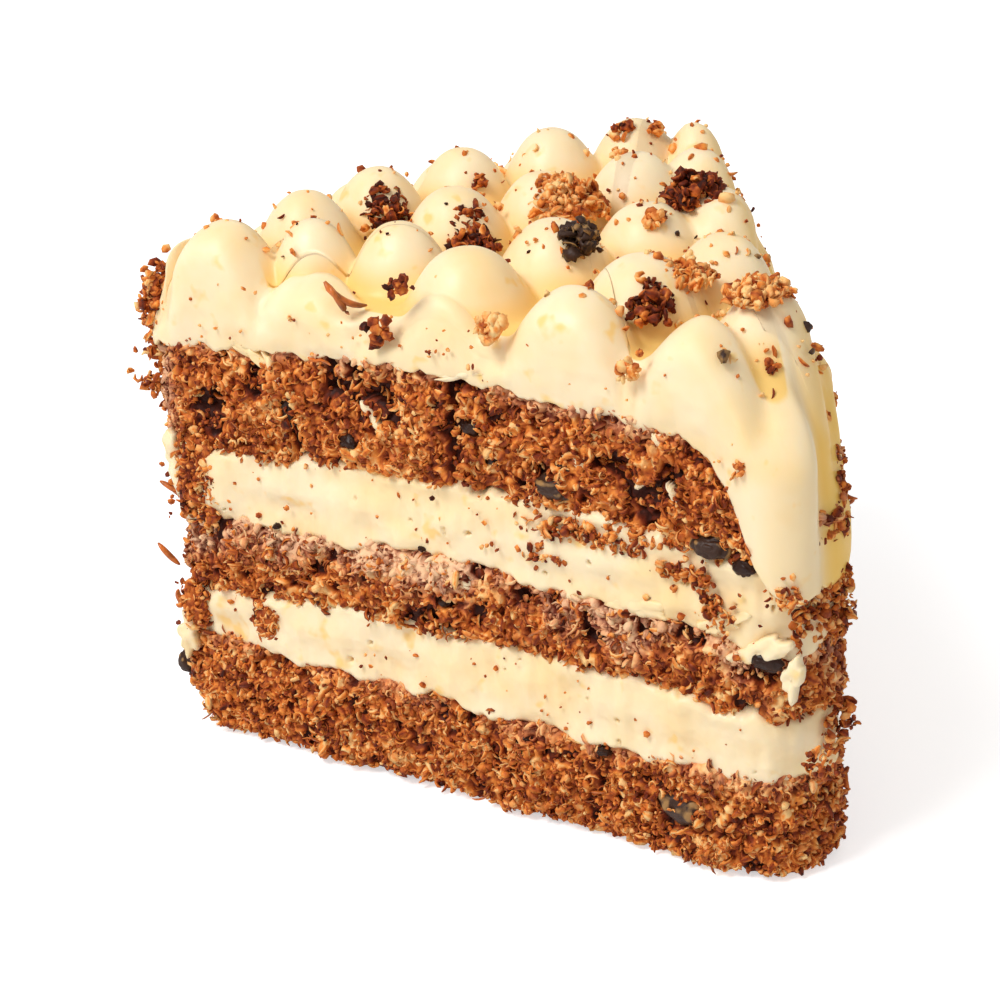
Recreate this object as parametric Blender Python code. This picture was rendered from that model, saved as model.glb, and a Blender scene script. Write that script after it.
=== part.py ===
"""A slice of carrot cake, cut from a round cake of three sponge layers.

Two thick cream fillings run through the slice. The cream top is piped in rings of round
domes and runs over the broken point as a thick tongue. Crumb clumps lie on the domes, and
walnut pieces show in the cut sponge. The slice stands on its flat base with its point
towards +X. Dimensions below are in millimetres; the meshes are in metres, +Z up.
"""

import math

import bmesh
import bpy
import numpy as np
from mathutils import Vector
from mathutils.geometry import delaunay_2d_cdt

MM = 0.001

# The cake that the slice is cut from, and the cuts. The axis of the cake is at X = Y = 0.
RIM_RADIUS = 112.5
WEDGE_ANGLE = math.radians(51.4)
POINT_BREAK = 12.0  # the point is broken off this far from the cake's axis
CORNER_SHARPNESS = 24  # a higher power makes the upright corners tighter
HUB = np.array([-62.0, 0.0])  # a place inside the slice, which the outline is swept about

# Boundaries between the layers, from the base up: height at both ends of the slice, and how
# much higher each boundary is midway.
LEVELS = (15.0, 23.3, 33.7, 44.6, 61.6)
CROWNS = (0.0, 2.2, 3.0, 3.4, 3.4)
CROWN_RADIUS = 58.0
CROWN_REACH = 46.0
POINT_SLUMP = 9.0  # the top sponge's upper side rounds down this far at the point
SLUMP_FROM = 25.0
WAVE = 0.45

# Upright faces
EDGE = 0.8  # chamfer along every layer's edges
SPONGE_BULGE = 0.7
FILLING_BULGE = 0.3
WOBBLE = 0.5
BASE_ROUND = 5.0  # the baked edge under the rim is this round
RIM_REACH = 9.0  # how far from the rim that rounding begins
GAP = 0.3  # between pieces that touch
SEAT_GAP = 0.65  # under the cream top, whose facets differ from the sponge's

# Cream top: piped rings, each (ring radius, dome radius, angles from the front cut in degrees)
PIPED_RINGS = (
    (98.3, 7.6, (2.2, 10.8, 19.2, 27.6, 35.8, 43.3)),
    (94.0, 6.2, (48.6,)),
    (89.0, 6.4, (6.5,)),
    (82.5, 8.0, (-1.5, 20.5, 30.0, 40.0, 47.3)),
    (77.0, 7.4, (10.0,)),
    (63.0, 8.7, (8.0, 22.0, 35.5, 45.6)),
    (43.5, 8.8, (3.0, 21.5, 39.0)),
    (22.0, 8.8, (2.0, 34.0)),
)
CREAM_BED = 70.0  # height of the spread cream that the domes stand on
BED_AT_POINT = 63.8
BED_SLOPE_FROM = 25.0  # nearer the point than this, the bed slopes down
DOME_HEIGHT = 8.3
DOME_BLEND = 1.5  # a higher value makes the creases between domes sharper
DOME_FALL = 6.0  # how steeply a dome's surface falls away outside its own radius
SHOULDER = 2.2
CREAM_OVERHANG = 0.7
SKIRT_SLACK = 0.15
RIM_INSET = 2.2  # the piped cream stays this far inside the rim at its shoulder
CREAM_SKIRT = 0.8  # the cream hangs this far over the sponge's upper edge
TONGUE_DROP = 9.5
TONGUE_THICKNESS = 2.4
TONGUE_HALF_WIDTH = 9.0
TONGUE_SIDE = 0.5  # the tongue's middle is this far towards the second cut

# Loose pieces on the cream, each (distance from the axis, angle from the front cut, size)
CLUMPS = (
    (76.0, 31.0, 9.0),
    (93.0, 17.5, 6.0),
    (64.0, 42.0, 7.5),
    (57.5, 22.5, 6.0),
    (36.5, 16.0, 6.5),
    (76.5, 19.0, 6.5),
    (39.5, 28.5, 7.0),
    (23.5, 30.0, 7.0),
)
CLUMP_PROUD = 0.5  # a clump's height as a share of its size
CLUMP_REACH = 1.4  # a clump's underside clears the highest cream within this distance

# Walnut pieces in the front cut, each (distance from the axis, height, half width, half height)
WALNUTS = (
    (26.5, 8.0, 3.4, 2.3),
    (44.5, 51.0, 2.9, 1.9),
    (21.5, 47.5, 2.6, 1.7),
)
WALNUT_DEPTH = 5.0
WALNUT_PROUD = 1.1

# Mesh fineness
AROUND = 64
CREAM_AROUND = 96
CREAM_GRID = 2.7
CORE_SHARE = 0.85  # inside this share of the outline, hidden boundaries are plain

SEED = 7

SPONGE_COLOUR = (0.36, 0.15, 0.05)
CREAM_COLOUR = (0.93, 0.80, 0.55)
CLUMP_COLOUR = (0.40, 0.16, 0.05)
WALNUT_COLOUR = (0.26, 0.18, 0.11)


# ---------------------------------------------------------------- plan of the slice


def polar(radius, degrees):
    """The place at this distance from the cake's axis and this angle from the front cut."""
    turn = math.pi + WEDGE_ANGLE / 2 - math.radians(degrees)
    return np.array([radius * math.cos(turn), radius * math.sin(turn)])


def outline(count):
    """The slice's outline, anticlockwise, with points evenly spaced along it.

    A ray turns about the hub. Its reach is the soft minimum of its distances to the two
    cuts, the broken point and the rim: the power mean with a high negative power, which
    rounds the corners.
    """
    turn = np.linspace(0, 2 * math.pi, 4000, endpoint=False)
    ray = np.stack([np.cos(turn), np.sin(turn)], axis=1)
    half = WEDGE_ANGLE / 2
    flats = (
        (np.array([math.sin(half), -math.cos(half)]), 0.0),
        (np.array([math.sin(half), math.cos(half)]), 0.0),
        (np.array([1.0, 0.0]), -POINT_BREAK),
    )
    along = ray @ HUB
    inverse = (np.sqrt(along**2 - HUB @ HUB + RIM_RADIUS**2) - along) ** -CORNER_SHARPNESS
    for normal, distance in flats:
        nearness = np.maximum(ray @ normal, 0) / (distance - HUB @ normal)
        inverse = inverse + nearness**CORNER_SHARPNESS
    points = HUB + ray * (inverse ** (-1 / CORNER_SHARPNESS))[:, None]
    loop = np.vstack([points, points[:1]])
    steps = np.linalg.norm(np.diff(loop, axis=0), axis=1)
    length = np.concatenate([[0], np.cumsum(steps)])
    stations = np.linspace(0, length[-1], count, endpoint=False)
    return np.stack([np.interp(stations, length, loop[:, i]) for i in (0, 1)], axis=1)


def outward(loop):
    """Unit vectors pointing out of an anticlockwise loop, one for each of its points."""
    along = np.roll(loop, -1, axis=0) - np.roll(loop, 1, axis=0)
    along = along / np.linalg.norm(along, axis=1, keepdims=True)
    return np.stack([along[:, 1], -along[:, 0]], axis=1)


def smooth_step(value):
    """0 below 0, 1 above 1, and a smooth S between."""
    share = np.clip(value, 0, 1)
    return share * share * (3 - 2 * share)


def rim_share(loop):
    """1 on the cake's rim, 0 well inside it."""
    from_axis = np.linalg.norm(loop, axis=1)
    return smooth_step((from_axis - RIM_RADIUS + RIM_REACH) / RIM_REACH)


def wobble(loop, phase):
    """Small unevenness of a cut face, as two slow waves of the place along it."""
    x, y = loop.T
    slow = np.sin(0.17 * x + 0.11 * y + phase)
    quick = np.sin(0.41 * x - 0.33 * y + 2.3 * phase)
    return WOBBLE * (0.65 * slow + 0.35 * quick)


# ---------------------------------------------------------------- heights


def boundary(layer, place):
    """Height of a boundary: its level at both ends, plus its crown midway, plus waves.

    The uppermost boundary also rounds down at the point.
    """
    x, y = place.T
    from_axis = np.hypot(x, y)
    crown = CROWNS[layer] * (1 - ((from_axis - CROWN_RADIUS) / CROWN_REACH) ** 2)
    wave = np.sin(0.13 * x + 1.9 * layer) * np.cos(0.15 * y - 1.3 * layer)
    wave = wave + 0.6 * np.sin(0.29 * x - 0.23 * y + 2.7 * layer)
    height = LEVELS[layer] + crown + WAVE * wave
    if layer == len(LEVELS) - 1:
        nearness = (SLUMP_FROM - from_axis) / (SLUMP_FROM - POINT_BREAK)
        height = height - POINT_SLUMP * smooth_step(nearness)
    return height


def domes():
    """Every piped dome as (place, radius, height), with a little unevenness."""
    rng = np.random.default_rng(SEED)
    piped = []
    for ring, radius, angles in PIPED_RINGS:
        for degrees in angles:
            size = 1 + 0.05 * rng.uniform(-1, 1)
            place = polar(ring + rng.uniform(-1, 1), degrees)
            piped.append((place, radius * size, DOME_HEIGHT * size))
    return piped


def cream_bed(place):
    """Height of the spread cream under the domes, which slopes down towards the point."""
    from_axis = np.linalg.norm(place, axis=1)
    share = (from_axis - POINT_BREAK) / (BED_SLOPE_FROM - POINT_BREAK)
    return BED_AT_POINT + (CREAM_BED - BED_AT_POINT) * smooth_step(share)


def cream_top(place):
    """Height of the piped cream: the soft maximum of the bed and of all the round domes."""
    bed = cream_bed(place)
    raised = np.ones(len(place))
    for centre, radius, height in domes():
        share = np.linalg.norm(place - centre, axis=1) / radius
        dome = height * np.sqrt(np.maximum(1 - share**2, 0))
        dome = dome - DOME_FALL * np.maximum(share - 1, 0)
        raised = raised + np.exp(DOME_BLEND * dome)
    return bed + np.log(raised) / DOME_BLEND


def highest_cream(place):
    """The highest cream at each place and in eight directions round it."""
    turn = np.arange(8) * math.pi / 4
    steps = CLUMP_REACH * np.column_stack([np.cos(turn), np.sin(turn)])
    return np.max([cream_top(place + step) for step in (np.zeros(2), *steps)], axis=0)


def tongue_share(loop):
    """1 where the tongue of cream hangs over the point, 0 away from it."""
    aside = (loop[:, 1] - TONGUE_SIDE) / TONGUE_HALF_WIDTH
    near = loop[:, 0] > HUB[0] / 2
    return np.where(near, smooth_step((1 - np.abs(aside)) * 2.2), 0)


# ---------------------------------------------------------------- solids


def ring(loop, offset, height):
    """The outline moved outwards by offset, at the given heights."""
    moved = loop + outward(loop) * np.broadcast_to(offset, len(loop))[:, None]
    return np.column_stack([moved, np.broadcast_to(height, len(loop))])


def core_ring(loop, height_of):
    """The outline shrunk about the hub, at the height of a boundary."""
    shrunk = HUB + CORE_SHARE * (loop - HUB)
    return np.column_stack([shrunk, height_of(shrunk)])


def stacked_faces(rings, count, first=0):
    """Quads between each ring and the next, facing outwards for rings from below upwards."""
    j = np.arange(count)
    k = np.roll(j, -1)
    strips = []
    for i in range(rings - 1):
        low = first + i * count
        high = low + count
        strips.append(np.stack([low + j, low + k, high + k, high + j], axis=1))
    return np.vstack(strips)


def material(name, colour, roughness):
    finish = bpy.data.materials.new(name)
    finish.use_nodes = True
    shader = finish.node_tree.nodes["Principled BSDF"]
    shader.inputs["Base Color"].default_value = (*colour, 1)
    shader.inputs["Roughness"].default_value = roughness
    shader.inputs["Metallic"].default_value = 0.0
    return finish


def add_object(name, points, faces, finish):
    """A closed mesh in metres, with its normals pointing outwards."""
    mesh = bpy.data.meshes.new(name)
    mesh.from_pydata((np.asarray(points) * MM).tolist(), [], [list(map(int, f)) for f in faces])
    body = bmesh.new()
    body.from_mesh(mesh)
    bmesh.ops.recalc_face_normals(body, faces=body.faces)
    bmesh.ops.triangulate(body, faces=body.faces)
    body.to_mesh(mesh)
    body.free()
    mesh.materials.append(finish)
    mesh.shade_smooth()
    mesh.set_sharp_from_angle(angle=math.radians(40))
    made = bpy.data.objects.new(name, mesh)
    bpy.context.scene.collection.objects.link(made)
    return made


def closed_stack(name, rings, finish):
    """A solid from rings, closed by a fan to the hub at its bottom and its top."""
    count = len(rings[0])
    low = np.array([[*HUB, rings[0][:, 2].mean()]])
    high = np.array([[*HUB, rings[-1][:, 2].mean()]])
    points = np.vstack([*rings, low, high])
    faces = stacked_faces(len(rings), count).tolist()
    j = np.arange(count)
    k = np.roll(j, -1)
    last = (len(rings) - 1) * count
    below = np.full(count, len(rings) * count)
    faces += np.stack([below, k, j], axis=1).tolist()
    faces += np.stack([below + 1, last + j, last + k], axis=1).tolist()
    return add_object(name, points, faces, finish)


def layer(name, index, bulge, finish):
    """One layer between boundary index - 1 (the base if 0) and boundary index."""
    loop = outline(AROUND)
    uneven = wobble(loop, index)

    def top(place):
        return boundary(index, place) - GAP / 2

    def bottom(place):
        if index == 0:
            return np.zeros(len(place))
        return boundary(index - 1, place) + GAP / 2

    under = EDGE
    if index == 0:
        under = EDGE + (BASE_ROUND - EDGE) * rim_share(loop)
    low = bottom(loop)
    high = top(loop)
    middle = (low + high) / 2
    rings = [
        core_ring(loop, bottom),
        ring(loop, uneven - under, low),
        ring(loop, uneven - 0.3 * under, low + 0.3 * under),
        ring(loop, uneven, low + under),
        ring(loop, uneven + bulge, np.maximum(middle, low + under + EDGE)),
        ring(loop, uneven, high - EDGE),
        ring(loop, uneven - EDGE, high),
        core_ring(loop, top),
    ]
    if index > 0:
        del rings[2]
    return closed_stack(name, rings, finish)


def cream_cap(finish):
    """The cream top: a skirt round the sponge, an upright face, and the piped surface.

    The rings run from under the middle of the cream out to the sponge's edge, down the
    inside of the skirt, out under it, and up its face to the shoulder. The piped surface is
    a triangulated grid inside the shoulder ring.
    """
    loop = outline(CREAM_AROUND)
    index = len(LEVELS) - 1
    uneven = wobble(loop, index)

    def seat(place):
        return boundary(index, place) + SEAT_GAP

    tongue = tongue_share(loop)
    clear_of_bulge = WOBBLE + SPONGE_BULGE + GAP
    inner = uneven + GAP + SKIRT_SLACK
    inner = inner + (clear_of_bulge - inner) * tongue
    outer = inner + CREAM_OVERHANG + (TONGUE_THICKNESS - CREAM_OVERHANG) * tongue
    hang = seat(loop) - CREAM_SKIRT - TONGUE_DROP * tongue
    inside = ring(loop, uneven - EDGE, seat(loop))
    inset = RIM_INSET * rim_share(loop)
    shoulder = ring(loop, outer - SHOULDER - inset, 0)
    shoulder[:, 2] = cream_top(shoulder[:, :2])
    face_top = shoulder[:, 2] - SHOULDER
    face_middle = (face_top + np.maximum(hang, seat(loop) - 2)) / 2
    rings = [
        core_ring(loop, seat),
        inside,
        ring(loop, inner, seat(loop) - 0.2),
        ring(loop, inner, hang + 0.2),
        ring(loop, outer - 0.4, hang - 0.3 * tongue),
        ring(loop, outer, hang + 0.5),
        ring(loop, outer + 0.3 - 0.4 * inset, face_middle),
        ring(loop, outer - 0.3 - inset, face_top + 0.3),
        shoulder,
    ]
    count = len(loop)
    points = np.vstack(rings)
    faces = stacked_faces(len(rings), count).tolist()
    j = np.arange(count)
    centre = len(points)
    points = np.vstack([points, [*HUB, rings[0][:, 2].mean()]])
    faces += np.stack([np.full(count, centre), np.roll(j, -1), j], axis=1).tolist()
    top_points, top_faces = piped_surface(shoulder)
    first = (len(rings) - 1) * count
    renamed = np.concatenate([first + j, np.arange(len(top_points) - count) + len(points)])
    points = np.vstack([points, top_points[count:]])
    faces += renamed[top_faces].tolist()
    return add_object("cream_top", points, faces, finish)


def piped_surface(shoulder):
    """Points and triangles over the shoulder ring, on a staggered grid inside it."""
    low = shoulder[:, :2].min(axis=0)
    high = shoulder[:, :2].max(axis=0)
    rows = np.arange(low[1], high[1], CREAM_GRID * math.sqrt(3) / 2)
    columns = np.arange(low[0], high[0], CREAM_GRID)
    x, y = np.meshgrid(columns, rows)
    x = x + (np.arange(len(rows)) % 2)[:, None] * CREAM_GRID / 2
    grid = np.column_stack([x.ravel(), y.ravel()])
    loop = shoulder[:, :2]
    facing = outward(loop)
    apart = grid[:, None, :] - loop[None, :, :]
    nearest = (apart**2).sum(axis=2).argmin(axis=1)
    depth = -(apart[np.arange(len(grid)), nearest] * facing[nearest]).sum(axis=1)
    grid = grid[depth > 0.6 * CREAM_GRID]
    plan = np.vstack([loop, grid])
    ring_order = list(range(len(loop)))
    found = delaunay_2d_cdt([Vector(p) for p in plan], [], [ring_order], 1, 1e-6)
    original = np.array([names[0] for names in found[3]])
    triangles = original[np.array(found[2])]
    return np.column_stack([plan, cream_top(plan)]), triangles


def clump(name, place, size, rng, finish):
    """A flattish crumb clump that follows the cream under it.

    Rings about its middle: the underside clears the cream, and the top rises as a dome with
    an uneven outline.
    """
    count = 12
    turn = np.linspace(0, 2 * math.pi, count, endpoint=False)
    uneven = 1 + 0.16 * np.sin(3 * turn + rng.uniform(0, 6)) + rng.uniform(-0.1, 0.1, count)
    unit = np.column_stack([np.cos(turn), np.sin(turn)]) * uneven[:, None]

    middle = highest_cream(place[None, :])[0] + GAP

    def at(share, height):
        plan = place + unit * share * size / 2
        rough = 1 + rng.uniform(-0.16, 0.16, count)
        under = highest_cream(plan) + GAP
        top = np.maximum(middle + height * size * CLUMP_PROUD * rough, under + 0.8)
        return np.column_stack([plan, np.where(height > 0, top, under)])

    rings = [at(0.5, 0), at(0.9, 0), at(1.0, 0.25), at(0.8, 0.75), at(0.42, 1.0)]
    points = np.vstack(rings)
    points = np.vstack([points, [*place, middle], [*place, middle + size * CLUMP_PROUD * 1.08]])
    faces = stacked_faces(len(rings), count).tolist()
    j = np.arange(count)
    k = np.roll(j, -1)
    last = (len(rings) - 1) * count
    below = np.full(count, len(rings) * count)
    faces += np.stack([below, k, j], axis=1).tolist()
    faces += np.stack([below + 1, last + j, last + k], axis=1).tolist()
    return add_object(name, points, faces, finish)


def walnut(name, from_axis, height, half_width, half_height, grow, finish):
    """A rounded walnut piece set into the front cut, its outer side a little proud of it."""
    place = polar(from_axis, 0)
    along = place / from_axis
    facing = np.array([math.sin(WEDGE_ANGLE / 2), -math.cos(WEDGE_ANGLE / 2)])
    body = bmesh.new()
    bmesh.ops.create_icosphere(body, subdivisions=2, radius=1.0)
    unit = np.array([v.co[:] for v in body.verts])
    faces = [[v.index for v in f.verts] for f in body.faces]
    body.free()
    lumpy = 1 + 0.08 * np.sin(4 * unit[:, 0] + 3 * unit[:, 2]) + 0.06 * np.sin(5 * unit[:, 1])
    unit = unit * lumpy[:, None]
    depth = WALNUT_DEPTH / 2
    centre = place + facing * (WALNUT_PROUD - depth)
    sideways = unit[:, 0] * (half_width + grow)
    inward = unit[:, 1] * (depth + grow)
    plan = centre + sideways[:, None] * along + inward[:, None] * facing
    rise = height + unit[:, 2] * (half_height + grow)
    return add_object(name, np.column_stack([plan, rise]), faces, finish)


def pocket(layer_object, name, size, finish):
    """Cuts room for a walnut piece out of a sponge layer, with the usual gap round it."""
    cutter = walnut(name + "_pocket", *size, GAP, finish)
    cutter.hide_render = True
    cutter.display_type = "WIRE"
    cut = layer_object.modifiers.new(name, "BOOLEAN")
    cut.operation = "DIFFERENCE"
    cut.solver = "EXACT"
    cut.object = cutter


def stand_on_origin(objects):
    """Moves every mesh so that the base's middle, under the whole box, is the origin."""
    corners = [v.co for o in objects if not o.hide_render for v in o.data.vertices]
    points = np.array(corners)
    low = points.min(axis=0)
    high = points.max(axis=0)
    shift = Vector((-(low[0] + high[0]) / 2, -(low[1] + high[1]) / 2, -low[2]))
    for made in objects:
        for vertex in made.data.vertices:
            vertex.co += shift


def main():
    for old in list(bpy.data.objects):
        bpy.data.objects.remove(old)
    sponge = material("sponge", SPONGE_COLOUR, 0.9)
    cream = material("cream", CREAM_COLOUR, 0.45)
    crumb = material("crumb_clump", CLUMP_COLOUR, 0.85)
    nut = material("walnut", WALNUT_COLOUR, 0.6)

    bottom = layer("sponge_bottom", 0, SPONGE_BULGE, sponge)
    layer("filling_lower", 1, FILLING_BULGE, cream)
    layer("sponge_middle", 2, SPONGE_BULGE, sponge)
    layer("filling_upper", 3, FILLING_BULGE, cream)
    top = layer("sponge_top", 4, SPONGE_BULGE, sponge)
    cream_cap(cream)

    rng = np.random.default_rng(SEED)
    for number, (from_axis, degrees, size) in enumerate(CLUMPS, start=1):
        clump(f"crumb_clump_{number}", polar(from_axis, degrees), size, rng, crumb)
    for number, size in enumerate(WALNUTS, start=1):
        name = f"walnut_piece_{number}"
        walnut(name, *size, 0, nut)
        holder = bottom if size[1] < LEVELS[0] else top
        pocket(holder, name, size, nut)
    stand_on_origin(list(bpy.data.objects))


if __name__ == "__main__":
    main()
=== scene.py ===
import math

import bmesh
import bpy
import numpy as np
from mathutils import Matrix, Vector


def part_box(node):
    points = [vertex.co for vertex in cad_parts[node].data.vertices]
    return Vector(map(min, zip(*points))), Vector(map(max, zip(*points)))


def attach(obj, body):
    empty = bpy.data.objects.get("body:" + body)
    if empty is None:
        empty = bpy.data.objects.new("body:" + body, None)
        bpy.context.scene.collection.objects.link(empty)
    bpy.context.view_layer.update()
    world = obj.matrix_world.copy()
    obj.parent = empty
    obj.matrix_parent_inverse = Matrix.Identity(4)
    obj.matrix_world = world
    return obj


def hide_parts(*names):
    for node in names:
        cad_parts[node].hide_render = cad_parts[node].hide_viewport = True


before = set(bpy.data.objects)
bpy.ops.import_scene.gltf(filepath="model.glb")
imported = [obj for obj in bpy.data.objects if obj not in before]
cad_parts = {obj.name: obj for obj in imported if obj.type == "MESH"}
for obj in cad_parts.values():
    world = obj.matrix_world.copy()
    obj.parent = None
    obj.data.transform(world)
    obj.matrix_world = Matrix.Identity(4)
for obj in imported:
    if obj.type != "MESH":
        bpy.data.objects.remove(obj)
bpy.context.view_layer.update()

bl_info = {
    "name": "Carrot Cake Slice",
    "version": (1, 0, 0),
    "blender": (4, 5, 0),
    "location": "3D View > Sidebar > Cake",
    "description": "Makes a crumbly slice of layered carrot cake with piped cream on top",
    "category": "Add Mesh",
}

MM = 0.001

# Shape of the slice in millimetres, as its solids are made. The cake's axis is X = Y = 0
# here, and Slice.axis_x is where that axis stands in the frame.
CORNER_SHARPNESS = 24
HUB = np.array([-62.0, 0.0])
LEVELS = (15.0, 23.3, 33.7, 44.6, 61.6)
CROWNS = (0.0, 2.2, 3.0, 3.4, 3.4)
CROWN_RADIUS = 58.0
CROWN_REACH = 46.0
POINT_SLUMP = 9.0
SLUMP_FROM = 25.0
WAVE = 0.45
SPONGE_BULGE = 0.7
WOBBLE = 0.5
BASE_ROUND = 5.0
RIM_REACH = 9.0
PIPED_RINGS = (
    (98.3, 7.6, (2.2, 10.8, 19.2, 27.6, 35.8, 43.3)),
    (94.0, 6.2, (48.6,)),
    (89.0, 6.4, (6.5,)),
    (82.5, 8.0, (-1.5, 20.5, 30.0, 40.0, 47.3)),
    (77.0, 7.4, (10.0,)),
    (63.0, 8.7, (8.0, 22.0, 35.5, 45.6)),
    (43.5, 8.8, (3.0, 21.5, 39.0)),
    (22.0, 8.8, (2.0, 34.0)),
)
CREAM_BED = 70.0
BED_AT_POINT = 63.8
BED_SLOPE_FROM = 25.0
DOME_HEIGHT = 8.3
DOME_BLEND = 1.1
DOME_ROUNDNESS = 2.4
# The low swelling at the point: distance from the axis, degrees, radius and height.
NOSE = (16.0, 25.7, 8.0, 3.6)
# Crumbs rest on the cream only above this height, measured in square cells of the plan.
LOWEST_REST = 60.0
REST_CELL = 0.8
DOME_SEED = 7
SPONGE_LOW_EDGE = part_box("sponge_bottom")[0].x / MM
RIM_BULGE = 1.05
RIM_TRIM = 2.1


# ------------------------------------------------------------------ settings


class CakeSizes(bpy.types.PropertyGroup):
    rim_radius: bpy.props.FloatProperty(
        name="Rim radius", description="Radius of the whole cake", default=0.1125, unit="LENGTH"
    )
    wedge_angle: bpy.props.FloatProperty(
        name="Wedge angle",
        description="Angle between the two cuts",
        default=math.radians(51.4),
        unit="ROTATION",
    )
    point_break: bpy.props.FloatProperty(
        name="Point break",
        description="How far from the cake's axis the point is broken off",
        default=0.012,
        unit="LENGTH",
    )
    crumb_step: bpy.props.FloatProperty(
        name="Crumb mesh step",
        description="Distance between the points of a crumb surface",
        default=0.00027,
        unit="LENGTH",
    )
    lump: bpy.props.FloatProperty(
        name="Crumb lump", description="Width of the larger lumps of crumb", default=0.0018, unit="LENGTH"
    )
    curl: bpy.props.FloatProperty(
        name="Crumb curl", description="Width of the curled folds of crumb", default=0.0009, unit="LENGTH"
    )
    pit_depth: bpy.props.FloatProperty(
        name="Pit depth", description="Depth of the larger holes in the crumb", default=0.0028, unit="LENGTH"
    )
    tongue_thickness: bpy.props.FloatProperty(
        name="Tongue thickness",
        description="Thickness of the cream that runs over the point",
        default=0.0024,
        unit="LENGTH",
    )
    tongue_drop: bpy.props.FloatProperty(
        name="Tongue drop",
        description="How far the cream runs below the sponge's edge at the point",
        default=0.0095,
        unit="LENGTH",
    )


def colour(name, description, value):
    """A colour setting, as linear red, green and blue."""
    return bpy.props.FloatVectorProperty(
        name=name, description=description, subtype="COLOR", default=value
    )


class CakeColours(bpy.types.PropertyGroup):
    # The first two crumb colours are painted shade in the crumb's pits and low parts, and the light and pale
    # crumb colours are painted highlight on raised crumb and flake edges.
    pit: colour("Pit", "Deep holes in the crumb", (0.040, 0.005, 0.001))
    crumb_dark: colour("Dark crumb", "Lower crumb", (0.22, 0.030, 0.005))
    crumb: colour("Crumb", "Middle of the crumb", (0.56, 0.128, 0.021))
    crumb_light: colour("Light crumb", "Raised crumb", (0.88, 0.30, 0.050))
    crumb_pale_highlight: colour("Pale crumb", "Edges of the flakes", (0.96, 0.61, 0.25))
    smear: colour("Smear", "Cream drawn thinly over crumb", (0.92, 0.66, 0.43))
    cream: colour("Cream", "Cream cheese cream", (0.97, 0.78, 0.50))
    # Warm cream is the cream's own deeper tone in patches and stains, and also painted shade in creases,
    # recesses and on the far side.
    cream_warm_and_shade: colour("Warm cream", "Deeper tone in the cream", (0.96, 0.58, 0.12))
    carrot: colour("Carrot", "Carrot shreds", (0.70, 0.17, 0.02))
    berry: colour("Raisin", "Dark glossy raisin", (0.022, 0.007, 0.004))
    nut: colour("Walnut", "Flesh of the walnut", (0.34, 0.18, 0.06))
    nut_skin: colour("Walnut skin", "Dark skin of the walnut", (0.040, 0.015, 0.007))
    topping_dark: colour("Dark topping", "Toasted crumb", (0.17, 0.022, 0.006))


# ------------------------------------------------------------------ noise


def hashed(cell, seed):
    """A fixed number from 0 to 1 for each whole lattice place, by multiplying and folding."""
    x, y, z = np.moveaxis(cell.astype(np.int64), -1, 0)
    mixed = (x * 73856093) ^ (y * 19349663) ^ (z * 83492791) ^ (seed * 40503)
    mixed = mixed & 0xFFFFFFFF
    mixed = ((mixed ^ (mixed >> 15)) * 0x2C1B3C6D) & 0xFFFFFFFF
    mixed = ((mixed ^ (mixed >> 12)) * 0x297A2D39) & 0xFFFFFFFF
    return (mixed ^ (mixed >> 15)) / 2.0**32


def smooth_step(value):
    """0 below 0, 1 above 1, and three times the square less twice the cube between."""
    share = np.clip(value, 0, 1)
    return share * share * (3 - 2 * share)


def noise(points, size, seed):
    """Smooth noise from 0 to 1: the lattice's numbers blended by the S-shaped step."""
    place = points / size
    low = np.floor(place)
    share = smooth_step(place - low)
    total = np.zeros(len(points))
    for corner in np.ndindex(2, 2, 2):
        weight = np.prod(np.where(corner, share, 1 - share), axis=-1)
        total = total + weight * hashed(low + corner, seed)
    return total


def grains(points, size, seed):
    """Distance to the nearest grain's middle, in grain sizes, and a number for that grain.

    Each lattice cell holds one middle at a random place, and the 27 cells round a point are
    searched.
    """
    place = points / size
    low = np.floor(place)
    nearest = np.full(len(points), 9.0)
    tone = np.zeros(len(points))
    for step in np.ndindex(3, 3, 3):
        cell = low + np.array(step) - 1
        middle = cell + np.stack([hashed(cell, seed + i) for i in (1, 2, 3)], axis=-1)
        away = np.linalg.norm(middle - place, axis=-1)
        closer = away < nearest
        nearest = np.where(closer, away, nearest)
        tone = np.where(closer, hashed(cell, seed + 4), tone)
    return nearest, tone


def space(plan, height=0.0):
    """Places in the plan as places in space."""
    return np.column_stack([plan, np.broadcast_to(height, len(plan))])


# ------------------------------------------------------------------ the slice's plan


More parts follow.
